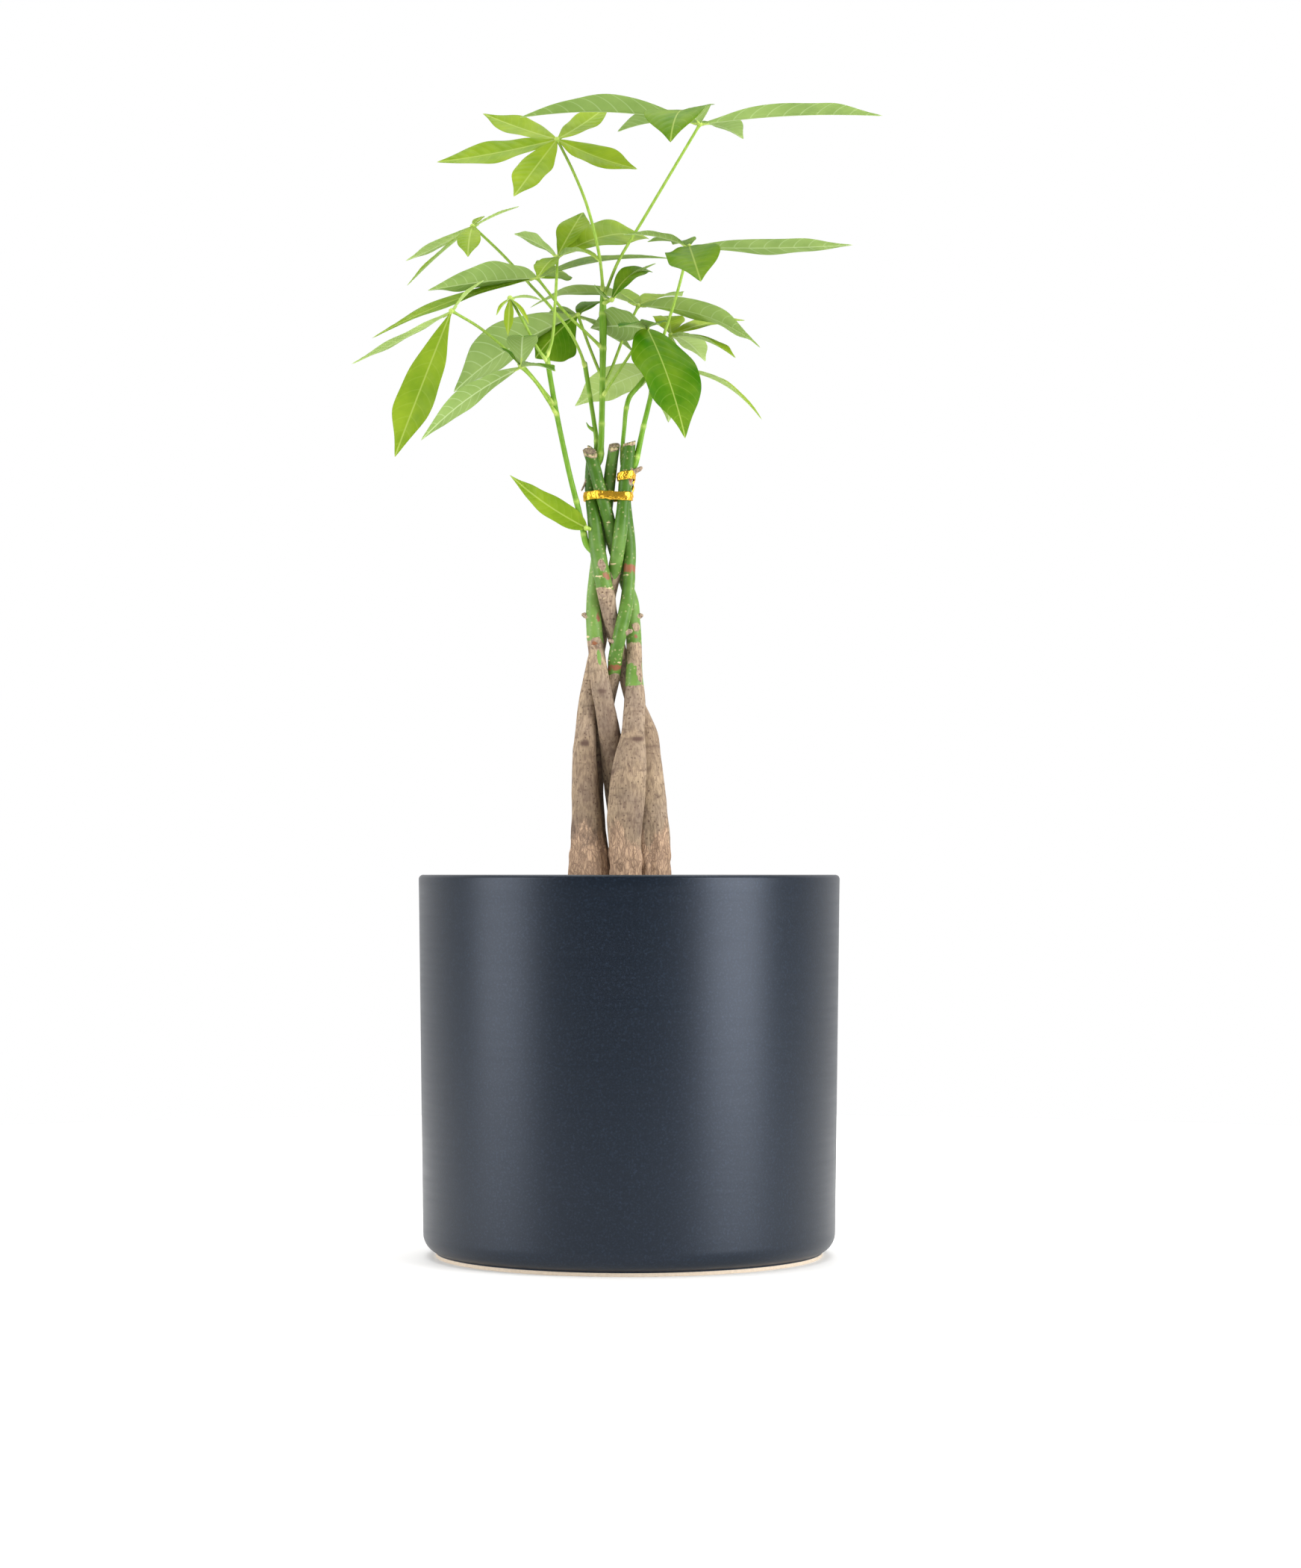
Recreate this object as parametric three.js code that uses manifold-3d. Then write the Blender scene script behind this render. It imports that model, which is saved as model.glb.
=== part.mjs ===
// Potted money tree: five braided stems with palmate leaves, standing in the soil of a round glazed pot.
// Millimetres, +Z up. The origin is on the pot's axis, on the surface that the pot stands on.
// The front of the plant faces -Y.
import * as THREE from 'three';
import { mergeVertices } from 'three/addons/utils/BufferGeometryUtils.js';
import Module from 'manifold-3d';

const wasm = await Module();
wasm.setup();

// Gap between pieces that touch on the real plant
const GAP = 0.3;

// Pot: a cup with nearly straight sides, turned about Z
const POT = {
  height: 171,
  rimRadius: 95,
  wallTaper: 0.014,
  wall: 8,
  floor: 9,
  rimEdge: 2,
  cornerRadius: 9,
  innerCorner: 7,
  footRadius: 87,
  footHeight: 1.5,
  segments: 48,
};

// Soil: its top at the wall, the mound's rise in the middle, its lumps and how deep the stems stand in it
const SOIL = { top: 148, mound: 5, lumps: 0.8, lumpWidth: 7, lumpLength: 6, rings: 5, footDepth: 36 };

// Braid: stem centres (x, y) and radii at shared heights, from the top down.
// Neighbours are kept clear of each other at every height between these.
const BRAID_HEIGHTS = [368, 352, 342, 332, 320, 308, 296, 284, 272, 260, 248, 236, 222, 208, 190, 172];
const STEM_SIDES = 10;
const STEM_STEP = 9;
const STEMS = {
  trunk_a: {
    top: 364.5,
    x: [-18.8, -14.9, -12.4, -9.5, -7.0, -3.4, 0.9, 1.6, 2.3, 2.3, 2.4, 1.9, 0.3, -0.9, -2.1, -1.7],
    y: [-3.0, -3.0, -3.5, -1.8, 1.6, 5.0, 4.6, 1.2, -1.5, -3.8, -5.2, -6.4, -8.0, -8.8, -9.2, -9.5],
    r: [2.9, 2.9, 2.9, 2.9, 3.0, 3.1, 3.2, 3.3, 3.3, 3.8, 4.8, 5.3, 7.6, 8.3, 7.8, 6.8],
  },
  trunk_b: {
    top: 366,
    x: [-16.2, -17.2, -17.0, -15.9, -14.6, -12.6, -10.0, -7.7, -4.5, -0.8, 3.0, 7.2, 8.3, 9.0, 9.7, 10.1],
    y: [3.2, 3.0, 1.0, -1.2, -2.2, -4.8, -4.3, -1.8, 1.8, 4.3, 4.7, 4.0, 4.2, 4.0, 3.4, 3.0],
    r: [2.7, 2.8, 2.9, 3.0, 3.5, 3.7, 3.8, 3.7, 3.7, 3.9, 4.5, 5.6, 6.4, 7.3, 8.4, 8.8],
  },
  trunk_c: {
    top: 367.5,
    x: [0, -1.2, -2.4, -3.3, -4.7, -6.8, -9.4, -12.1, -14.9, -17.1, -18.8, -19.9, -20.2, -19.7, -18.9, -18],
    y: [-3.0, -3.2, -3.4, -4.9, -5.4, -0.6, 3.3, 4.5, 4.2, 2.8, 0.3, 0.0, -0.5, -1.0, -1.8, -3.0],
    r: [2.8, 3.1, 2.9, 3.2, 3.2, 2.9, 3.1, 3.3, 3.6, 3.7, 4.0, 4.6, 5.6, 6.3, 7.7, 9.6],
  },
  trunk_d: {
    top: 359,
    x: [-1.7, -1.5, -2.4, -1.6, -0.2, 0.0, -1.0, -3.0, -5.8, -7.4, -10.7, -13.4, -16.0, -17.5, -17.5, -15.5],
    y: [3.2, 3.2, 3.0, 2.0, 0.6, -1.2, -2.8, -7.6, -5.7, -0.1, 4.3, 7.4, 10.9, 12.0, 13.5, 15.2],
    r: [2.7, 2.9, 3.0, 3.1, 3.1, 2.9, 3.0, 3.3, 3.2, 3.1, 3.6, 4.2, 4.9, 5.7, 6.9, 8.0],
  },
  trunk_e: {
    top: 367,
    x: [-6.6, -8.6, -9.8, -11.4, -13.5, -15.1, -16.1, -15.9, -14.8, -13.3, -11.1, -9.1, -7, -4.8, -2.4, 0.5],
    y: [-0.2, 1.0, 2.2, 4.2, 4.9, 2.7, 0.9, -2.2, -3.8, -5.3, -4.6, -1.4, 4.4, 8.8, 14.6, 17.0],
    r: [2.7, 2.7, 2.8, 3.0, 3.1, 3.2, 3.3, 3.5, 3.7, 4.3, 4.6, 5.0, 5.7, 6.3, 6.9, 7.4],
  },
};

// Twist tie: a foil band round all five stems, a second loop round the two right-hand stems above it,
// and the twisted end that joins the two
const TIE = {
  thickness: 0.6,
  bandHeight: 4.2,
  bandMiddle: 342.3,
  loopMiddle: 351.3,
  loopStems: ['trunk_c', 'trunk_d'],
  steps: 36,
  twistWidth: 1.3,
  twistTurns: 1.25,
  twistSteps: 10,
  twistSkew: 0.35,
  twistFoot: [1.3, -0.1, 342.3],
  twistTop: [2.1, -0.1, 351.3],
};

// Shoots: the stem that each grows from, its bends from inside that stem outwards, and a radius for each
// bend
const SHOOTS = {
  shoot_1: {
    from: 'trunk_b',
    bends: [[-16.4, 2.4, 355], [-13.7, 1.2, 359.5], [-12.9, 1.0, 366], [-12.5, 1.4, 378], [-12.2, 2.2, 396],
      [-12.0, 2.8, 412], [-12.0, 3.0, 425], [-12.1, 3.0, 437]],
    radii: [1.8, 1.9, 1.4, 1.3, 1.3, 1.6, 1.8, 1.1],
  },
  shoot_2: {
    from: 'trunk_b',
    bends: [[-15.8, 3.6, 357], [-15, 4.4, 368], [-16.2, 4.8, 377.5], [-18, 5, 389], [-20.3, 4.5, 403.5]],
    radii: [1.2, 1.1, 1, 1, 1.1],
  },
  shoot_3: {
    from: 'trunk_b',
    bends: [[-14.2, -3, 315], [-19.2, -1.8, 320.5], [-20.8, -1, 326.5], [-23.2, -1.2, 337], [-27, -4.5, 352],
      [-32.4, -13.0, 377], [-35.4, -19.0, 394], [-36.9, -22.0, 403.5]],
    radii: [1.5, 1.6, 1.4, 1.3, 1.2, 1.15, 1.15, 1.1],
  },
  shoot_4: {
    from: 'trunk_d',
    bends: [[-2.2, 3.0, 350], [-3.3, 1.1, 358], [-3.2, 0.6, 364], [-2.3, 0.0, 373.5], [-1.4, 0.4, 382.5],
      [0.2, 1.2, 388], [3.8, 3.0, 392.6], [6.6, 4.6, 396.5]],
    radii: [0.9, 0.9, 0.9, 0.95, 1.05, 1.15, 1.1, 1.05],
  },
  shoot_5: {
    from: 'trunk_c',
    bends: [[-0.9, -3.1, 353.8], [2.0, -2.8, 356], [3.4, -2.6, 360], [4.4, -2.2, 364.5], [6.4, -1.5, 374],
      [9.7, -0.5, 388], [12.6, 0.5, 404]],
    radii: [1.4, 1.7, 1.4, 1.3, 1.15, 1.1, 1.1],
  },
};
const SHOOT_SIDES = 8;
const SHOOT_STEP = 7;

// Leaves: the piece that each grows from, its hub, where the whole leaf leans (heading and angle), the
// bends of its stalk from inside that piece to just short of the hub, and its leaflets as
// [heading, rise, length, width, roll about the rib, bow of the rib, fold of the halves], then where one is
// widest near its hub or its tip, a power under or over the usual one.
// Headings turn from +X towards +Y, and all angles are in degrees. Bow is a share of the length.
const LEAVES = {
  leaf_01: {
    on: 'shoot_1', hub: [-33, 4, 506], lean: [-90, 45],
    stalk: [[-12.1, 2.6, 436], [-12.4, -1, 441.5], [-13.4, -5.4, 450], [-16, -8.9, 462],
      [-20, -7, 476], [-25.6, -3.5, 490]],
    leaflets: [
      [147, 22, 45, 15, 0, -0.03, 8], [-174, -12, 56, 17, 0, -0.03, 8], [-127, -45, 44, 16, 0, -0.02, 8],
      [-25, -23, 44, 16, 0, -0.03, 8], [48, 32, 42, 13, 0, -0.02, 8],
    ],
  },
  leaf_02: {
    on: 'shoot_1', hub: [32, -10, 510], lean: [0, 0],
    stalk: [[-12, 3, 432], [-9.8, 1.2, 438], [-5, 0.5, 449.5], [6.6, -3, 468.5]],
    leaflets: [
      [171, 4, 83, 22, 0, 0.05, 32], [-107, -21, 50, 31, 4, 0.2, 6], [139, 4, 50, 18, 0, 0.06, 20],
      [60, 1, 41, 16, 0, 0.06, 20], [2, 3, 83, 20, 0, 0.03, 25],
    ],
  },
  leaf_03: {
    on: 'shoot_2', hub: [-72, 16, 468.5], lean: [0, 0],
    stalk: [[-20.2, 4.6, 402], [-22.2, -2.5, 407.5], [-27.2, -9.5, 416.5], [-35.3, -8.5, 427],
      [-44.7, 4.5, 439], [-57.7, 10, 454]],
    leaflets: [
      [13, 25, 24, 3.5, 0, 0.03, 15], [148, -18, 40, 7, 15, -0.02, 15], [-159, -43, 43, 7.5, 0, 0.02, 15],
      [-92, -37, 31, 11, 0, 0.03, 12], [60, 32, 12, 5, 0, 0.03, 15],
    ],
  },
  leaf_04: {
    on: 'shoot_1', hub: [-42, 0, 442], lean: [0, 0],
    stalk: [[-12, 2.8, 410], [-20.4, -1.5, 417.5], [-29.2, -1.8, 426]],
    leaflets: [
      [-158, -10, 53, 22, 25, 0.02, 15, 0.85], [-175, -21, 80, 12, -28, 0.045, 6],
      [65, 13, 30, 18, 35, 0.06, 8], [28, 12, 70, 14, 15, 0.05, 12],
    ],
  },
  leaf_05: {
    on: 'shoot_3', hub: [-32.5, -8, 450], lean: [0, 0],
    stalk: [[-36.9, -22, 402.5], [-34.5, -22, 410], [-33.3, -20, 425], [-32.6, -15.5, 440]],
    leaflets: [
      [145, 28, 28, 11, 35, 0.06, 10], [58, 48, 32, 15, 10, 0.04, 6, 1.4],
      [42, 15, 58, 22, 35, 0.12, 10, 1.2],
      [-40, -12, 26, 10, 0, 0.16, 12], [-111, -30, 26, 11, 0, 0.06, 12],
    ],
  },
  leaf_06: {
    on: 'shoot_5', hub: [27, -15, 453.5], lean: [0, 0],
    stalk: [[12.6, 0.5, 403.2], [14, -3, 410], [17.4, -8, 420], [21.6, -12, 433]],
    leaflets: [
      [-14, -2, 75, 14, -20, 0, 5], [-84, -28, 50, 25, 12, 0.06, 14], [-151, 4, 34, 10, 0, 0.06, 12],
      [130, 12, 30, 8, 0, 0.06, 12], [110, 12, 22, 14, 0, 0.06, 25],
    ],
  },
  leaf_07: {
    on: 'shoot_1', hub: [-8, -3, 431.5], lean: [0, 0],
    stalk: [[-12.1, 3, 430.5]],
    leaflets: [
      [25, 34, 25, 12, 35, 0.25, 15], [12, 40, 27, 7, 0, 0.08, 20], [165, 42, 11, 5, 0, -0.1, 20],
    ],
  },
  leaf_08: {
    on: 'shoot_1', hub: [4, 20, 432.5], lean: [0, 0],
    stalk: [[-12.2, 2.1, 393], [-9.5, 4.5, 398], [-1.8, 11.8, 419]],
    leaflets: [
      [-162, -4, 52, 14, 10, 0.14, 10], [-26, -21, 66, 22, -24, 0.1, 10], [62, 14, 45, 18, 0, 0.05, 10],
      [118, 19, 40, 16, 0, 0.05, 10],
    ],
  },
  leaf_09: {
    on: 'shoot_1', hub: [8, -12, 417], lean: [0, 0],
    stalk: [[-12.3, 1.9, 388], [-8, -2.5, 394], [2.4, -8, 409]],
    leaflets: [
      [-58, -59, 62, 33, 0, 0.06, 6, 0.78], [-119, -7, 26, 12, 0, 0.06, 12], [-79, -6, 28, 12, 0, 0.06, 12],
      [140, 6, 34, 18, 50, 0.06, 10],
    ],
  },
  leaf_10: {
    on: 'shoot_5', hub: [19, 13, 418], lean: [0, 0],
    stalk: [[12.1, 0.4, 400.5], [15, 5.5, 408.5]],
    leaflets: [
      [39, 14, 46, 12, 25, 0.05, 12], [-37, -21, 39, 14, 0, 0.08, 12], [64, -11, 38, 14, 0, 0.08, 12],
      [96, 22, 38, 15, 0, 0.05, 12], [100, -80, 40, 16, 0, 0.05, 10],
    ],
  },
  leaf_11: {
    on: 'shoot_4', hub: [12.5, 7, 401.5], lean: [0, 0],
    stalk: [[6.4, 4.5, 396.2], [9, 5.8, 398.6]],
    leaflets: [
      [-18, -27, 56, 14, 0, 0.13, 12], [139, -14, 52, 20, 30, 0.08, 8], [-40, -50, 32, 13, 0, 0.06, 12],
    ],
  },
  leaf_12: {
    on: 'shoot_3', hub: [-53, -28, 428], lean: [0, 0],
    stalk: [[-36.4, -21, 400.5], [-40.5, -24.5, 405.5], [-46, -27, 415.5]],
    leaflets: [
      [-148, -50, 11, 3.5, 0, 0.08, 15], [-95, -67, 20, 4.5, 0, 0.05, 15], [-30, -52, 16, 5, 0, 0.05, 15],
      [19, -1, 15, 3.5, 0, 0.08, 15],
    ],
  },
  leaf_13: {
    on: 'shoot_3', hub: [-79, -30, 422], lean: [0, 0],
    stalk: [[-33.4, -15, 382], [-37.5, -17, 387], [-48, -18, 399.5], [-65.6, -24, 414.5]],
    leaflets: [
      [-154, -68, 72, 19, -45, 0.02, 8, 1.3], [165, -25, 52, 9, 4, -0.02, 8], [5, 44, 20, 8, 0, 0.05, 10],
    ],
  },
  leaf_14: {
    on: 'shoot_3', hub: [-48, -30, 397], lean: [0, 0],
    stalk: [[-32.8, -14, 378], [-36.5, -20, 383.5], [-42, -27, 391]],
    leaflets: [
      [-160, -37, 58, 14, 45, 0.05, 6], [-85, 32, 20, 14, 0, 0.3, 10], [150, 40, 15, 8, 0, 0.06, 12],
      [-57, -11, 30, 11, 0, 0.06, 12],
    ],
  },
  leaf_15: {
    on: 'shoot_1', hub: [-23.5, 6, 426], lean: [0, 0],
    stalk: [[-12.2, 2.2, 396], [-14.6, 4, 402], [-18.5, 5.4, 412]],
    leaflets: [
      [-164, -33, 69, 26, 55, 0.1, 32], [-175, -46, 28, 27, -55, 0.05, -25, 1.4], [30, -27, 34, 9, 0, 0.04, 12],
      [60, 22, 26, 14, 0, 0.05, 10], [165, 8, 14, 8, 20, 0.06, 10],
    ],
  },
  leaf_16: {
    on: 'trunk_b', hub: [-19.4, -5, 327.6], lean: [-90, 62],
    stalk: [[-15.4, -1.7, 326.6]],
    leaflets: [[-172, 34, 42, 12, 0, -0.08, 10, 0.65]],
  },
};

// Leaflet: a flat body whose rows stand at shares of its length, fewer on a short leaflet, and whose half
// width is a sine of the share raised to the widest power, itself raised to the fullness
const BLADE = {
  thickness: 0.6,
  start: 0.7,
  stations: [0.1, 0.24, 0.4, 0.56, 0.72, 0.87, 1],
  shortStations: [0.2, 0.42, 0.66, 0.87, 1],
  shortLength: 36,
  widestPower: 1.08,
  fullness: 0.9,
  leastHalfWidth: 0.5,
};

// Leaf stalk, with the knob at its hub
const STALK = { radius: 0.75, baseRadius: 1.0, sides: 6, step: 9, hubRadius: 1.3 };

// One plain colour for each material
const COLOURS = {
  glaze: '#2f3841',
  soil: '#4a382a',
  bark: '#9a8470',
  stem: '#4f8a45',
  shoot: '#86ad49',
  leaf: '#6fa02b',
  foil: '#d9a018',
};

function material(colour, roughness, metalness = 0) {
  return new THREE.MeshStandardMaterial({ color: colour, roughness, metalness });
}

function radians(degrees) {
  return THREE.MathUtils.degToRad(degrees);
}

function point(numbers) {
  return new THREE.Vector3(...numbers);
}

function geometry(vertices, triangles) {
  const result = new THREE.BufferGeometry();
  result.setAttribute('position', new THREE.Float32BufferAttribute(vertices.flatMap((v) => v.toArray()), 3));
  result.setIndex(triangles.flat());
  return result;
}

// Solids

function solidOf(shape) {
  const bare = shape.clone();
  bare.deleteAttribute('normal');
  bare.deleteAttribute('uv');
  const merged = mergeVertices(bare, 1e-5);
  return new wasm.Manifold(new wasm.Mesh({
    numProp: 3,
    vertProperties: new Float32Array(merged.attributes.position.array),
    triVerts: new Uint32Array(merged.index.array),
  }));
}

function geometryOf(solid) {
  const mesh = solid.getMesh();
  const result = new THREE.BufferGeometry();
  result.setAttribute('position', new THREE.BufferAttribute(new Float32Array(mesh.vertProperties), 3));
  result.setIndex(new THREE.BufferAttribute(new Uint32Array(mesh.triVerts), 1));
  return result;
}

function joined(solids) {
  return solids.reduce((whole, next) => whole.add(next));
}

// A closed skin over rings of points, each ring turning anticlockwise seen from the end it runs towards,
// with a flat fan over each end
function loft(rings) {
  const count = rings[0].length;
  const vertices = rings.flat();
  const triangles = [];
  for (let i = 0; i + 1 < rings.length; i += 1) {
    for (let j = 0; j < count; j += 1) {
      const k = (j + 1) % count;
      const [a, b, c, d] = [i * count + j, i * count + k, (i + 1) * count + k, (i + 1) * count + j];
      triangles.push([a, b, c], [a, c, d]);
    }
  }
  const last = (rings.length - 1) * count;
  for (let j = 1; j + 1 < count; j += 1) {
    triangles.push([0, j + 1, j], [last, last + j, last + j + 1]);
  }
  return geometry(vertices, triangles);
}

// A thin body between two equal grids of points, split into triangles alike on both faces
function plate(upper, lower) {
  const rows = upper.length;
  const columns = upper[0].length;
  const vertices = [...upper.flat(), ...lower.flat()];
  const under = rows * columns;
  const triangles = [];
  const wall = (a, b) => triangles.push([a, a + under, b + under], [a, b + under, b]);
  for (let i = 0; i + 1 < rows; i += 1) {
    for (let j = 0; j + 1 < columns; j += 1) {
      const [a, b] = [i * columns + j, i * columns + j + 1];
      const [c, d] = [b + columns, a + columns];
      triangles.push([a, b, c], [a, c, d]);
      triangles.push([a + under, c + under, b + under], [a + under, d + under, c + under]);
    }
    wall((i + 1) * columns, i * columns);
    wall(i * columns + columns - 1, (i + 1) * columns + columns - 1);
  }
  for (let j = 0; j + 1 < columns; j += 1) {
    wall(j, j + 1);
    wall((rows - 1) * columns + j + 1, (rows - 1) * columns + j);
  }
  return geometry(vertices, triangles);
}

// A round rod along a smooth curve through the bends, its radius following the list of radii
function rod(bends, radii, sides, step, swell = 0) {
  const curve = new THREE.CatmullRomCurve3(bends.map(point), false, 'centripetal');
  const count = Math.max(2, Math.ceil(curve.getLength() / step));
  const frames = curve.computeFrenetFrames(count, false);
  const rings = [];
  for (let i = 0; i <= count; i += 1) {
    const share = curve.getUtoTmapping(i / count) * (radii.length - 1);
    const before = Math.min(Math.floor(share), radii.length - 2);
    const radius = THREE.MathUtils.lerp(radii[before], radii[before + 1], share - before) + swell;
    const centre = curve.getPointAt(i / count);
    if (i === 0) centre.addScaledVector(frames.tangents[0], -swell);
    if (i === count) centre.addScaledVector(frames.tangents[count], swell);
    rings.push(Array.from({ length: sides }, (_, j) => {
      const angle = (2 * Math.PI * j) / sides;
      return centre.clone()
        .addScaledVector(frames.normals[i], radius * Math.cos(angle))
        .addScaledVector(frames.binormals[i], radius * Math.sin(angle));
    }));
  }
  return loft(rings);
}

// Pot

function arc(centreX, centreY, radius, from, to, steps) {
  return Array.from({ length: steps + 1 }, (_, i) => {
    const angle = radians(THREE.MathUtils.lerp(from, to, i / steps));
    return new THREE.Vector2(centreX + radius * Math.cos(angle), centreY + radius * Math.sin(angle));
  });
}

function outerRadius(z) {
  return POT.rimRadius - (POT.height - z) * POT.wallTaper;
}

function innerRadius(z) {
  return outerRadius(z) - POT.wall;
}

function potGeometry() {
  const { height, rimEdge, cornerRadius, innerCorner, floor, footRadius, footHeight } = POT;
  const cornerZ = footHeight + cornerRadius;
  const innerZ = floor + innerCorner;
  const profile = [
    new THREE.Vector2(0, 0),
    new THREE.Vector2(footRadius, 0),
    new THREE.Vector2(footRadius, footHeight),
    ...arc(outerRadius(cornerZ) - cornerRadius, cornerZ, cornerRadius, -70, 0, 3),
    ...arc(outerRadius(height) - rimEdge, height - rimEdge, rimEdge, 0, 90, 2),
    ...arc(innerRadius(height) + rimEdge, height - rimEdge, rimEdge, 90, 180, 2),
    ...arc(innerRadius(innerZ) - innerCorner, innerZ, innerCorner, 0, -90, 2),
    new THREE.Vector2(0, floor),
  ];
  return new THREE.LatheGeometry(profile, POT.segments);
}

// Stems

const stemCurves = Object.fromEntries(Object.entries(STEMS).map(([name, stem]) => {
  const heights = [...BRAID_HEIGHTS].reverse();
  const samples = heights.flatMap((_, i) => {
    const row = BRAID_HEIGHTS.length - 1 - i;
    return [stem.x[row], stem.y[row], stem.r[row]];
  });
  return [name, new THREE.CubicInterpolant(heights, samples, 3, new Float64Array(3))];
}));

// Centre and radius of a stem at a height; below the lowest bend it runs straight down
function stemAt(name, z) {
  const [x, y, r] = stemCurves[name].evaluate(Math.max(z, BRAID_HEIGHTS[BRAID_HEIGHTS.length - 1]));
  return { x, y, r };
}

function stemGeometry(name, swell = 0) {
  const foot = SOIL.top - SOIL.footDepth - swell;
  const top = STEMS[name].top + swell;
  const count = Math.ceil((top - foot) / STEM_STEP);
  const rings = Array.from({ length: count + 1 }, (_, i) => {
    const z = THREE.MathUtils.lerp(foot, top, i / count);
    const { x, y, r } = stemAt(name, z);
    return Array.from({ length: STEM_SIDES }, (_, j) => {
      const angle = (2 * Math.PI * j) / STEM_SIDES;
      return new THREE.Vector3(x + (r + swell) * Math.cos(angle), y + (r + swell) * Math.sin(angle), z);
    });
  });
  return loft(rings);
}

// Soil

function soilGeometry() {
  const bottom = POT.floor + GAP;
  const cornerZ = POT.floor + POT.innerCorner;
  const edge = innerRadius(SOIL.top) - GAP;
  const profile = [
    new THREE.Vector2(0, bottom),
    ...arc(innerRadius(cornerZ) - POT.innerCorner, cornerZ, POT.innerCorner - GAP, -90, 0, 2),
    new THREE.Vector2(edge, SOIL.top),
  ];
  for (let i = 1; i <= SOIL.rings; i += 1) {
    const share = 1 - i / SOIL.rings;
    profile.push(new THREE.Vector2(edge * share, SOIL.top + SOIL.mound * (1 - share * share)));
  }
  const shape = new THREE.LatheGeometry(profile, POT.segments / 2);
  const position = shape.attributes.position;
  for (let i = 0; i < position.count; i += 1) {
    const [x, y, z] = [position.getX(i), position.getY(i), position.getZ(i)];
    if (y > SOIL.top + GAP) {
      position.setY(i, y + SOIL.lumps * Math.sin(x / SOIL.lumpWidth) * Math.cos(z / SOIL.lumpLength));
    }
  }
  return shape;
}

// Twist tie

// Points of a string pulled tight round the stems at a height, a little way off their skin: in each
// direction the string lies on the stem that reaches furthest that way
function stringAround(names, z, offset) {
  const circles = names.map((name) => stemAt(name, z));
  return Array.from({ length: TIE.steps }, (_, i) => {
    const angle = (2 * Math.PI * i) / TIE.steps;
    const [ux, uy] = [Math.cos(angle), Math.sin(angle)];
    const reach = (circle) => circle.x * ux + circle.y * uy + circle.r;
    const far = circles.reduce((best, circle) => (reach(circle) > reach(best) ? circle : best));
    return new THREE.Vector2(far.x + (far.r + offset) * ux, far.y + (far.r + offset) * uy);
  });
}

function loopSolid(names, middle) {
  const offset = 1.5 * GAP;
  const depth = TIE.bandHeight;
  const shape = new THREE.Shape(stringAround(names, middle, offset + TIE.thickness));
  shape.holes.push(new THREE.Path(stringAround(names, middle, offset)));
  const band = new THREE.ExtrudeGeometry(shape, { depth, bevelEnabled: false });
  band.translate(0, 0, middle - depth / 2);
  return solidOf(band);
}

function twistSolid() {
  const [foot, top] = [point(TIE.twistFoot), point(TIE.twistTop)];
  const rings = Array.from({ length: TIE.twistSteps + 1 }, (_, i) => {
    const share = i / TIE.twistSteps;
    const centre = foot.clone().lerp(top, share);
    const turn = 2 * Math.PI * TIE.twistTurns * share;
    return Array.from({ length: 4 }, (_, j) => {
      const angle = turn + (Math.PI / 2) * j + (j % 2 ? TIE.twistSkew : -TIE.twistSkew);
      const half = TIE.twistWidth / 2;
      const corner = new THREE.Vector3(half * Math.cos(angle), half * Math.sin(angle), 0);
      return corner.add(centre);
    });
  });
  return solidOf(loft(rings));
}

function tieSolid() {
  const band = loopSolid(Object.keys(STEMS), TIE.bandMiddle);
  const loop = loopSolid(TIE.loopStems, TIE.loopMiddle);
  return joined([band, loop, twistSolid()]);
}

// Leaves

function direction(heading, rise) {
  const [turn, lift] = [radians(heading), radians(rise)];
  return new THREE.Vector3(
    Math.cos(lift) * Math.cos(turn),
    Math.cos(lift) * Math.sin(turn),
    Math.sin(lift),
  );
}

// One leaflet: its rib is an arched line from the hub to the tip, and each half is a strip that widens as a
// power of a sine and rises from the rib by the fold angle
function leafletGeometry(hub, lean, [heading, rise, length, width, roll, bow, fold, power]) {
  const along = direction(heading, rise);
  const leafUp = direction(lean[0], 90 - lean[1]);
  const face = leafUp.addScaledVector(along, -leafUp.dot(along)).normalize();
  face.applyAxisAngle(along, radians(roll));
  const side = new THREE.Vector3().crossVectors(along, face);
  const [flat, lift] = [Math.cos(radians(fold)), Math.sin(radians(fold))];
  const spaced = length < BLADE.shortLength ? BLADE.shortStations : BLADE.stations;
  const stations = [BLADE.start / length, ...spaced];
  const faceAt = (offset) => stations.map((t) => {
    const rib = point(hub)
      .addScaledVector(along, length * t)
      .addScaledVector(face, length * bow * 4 * t * (1 - t) + offset);
    const spread = Math.sin(Math.PI * Math.min(t, 1) ** (power ?? BLADE.widestPower)) ** BLADE.fullness || 0;
    const half = Math.max(BLADE.leastHalfWidth, (width / 2) * spread);
    return [-1, 0, 1].map((hand) => rib.clone()
      .addScaledVector(side, hand * half * flat)
      .addScaledVector(face, Math.abs(hand) * half * lift));
  });
  return plate(faceAt(BLADE.thickness / 2), faceAt(-BLADE.thickness / 2));
}

function leafSolid({ hub, lean, stalk, leaflets }) {
  const bends = [...stalk, hub];
  const radii = bends.map((_, i) => (i === 0 ? STALK.baseRadius : STALK.radius));
  const knob = new THREE.OctahedronGeometry(STALK.hubRadius, 1);
  knob.translate(...hub);
  return joined([
    solidOf(rod(bends, radii, STALK.sides, STALK.step)),
    solidOf(knob),
    ...leaflets.map((leaflet) => solidOf(leafletGeometry(hub, lean, leaflet))),
  ]);
}

// Assembly

const plant = new THREE.Group();

function place(name, shape, finish) {
  const mesh = new THREE.Mesh(shape, finish);
  mesh.name = name;
  plant.add(mesh);
}

const upright = new THREE.Matrix4().makeRotationX(Math.PI / 2);
place('pot', potGeometry().applyMatrix4(upright), material(COLOURS.glaze, 0.42));

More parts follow.
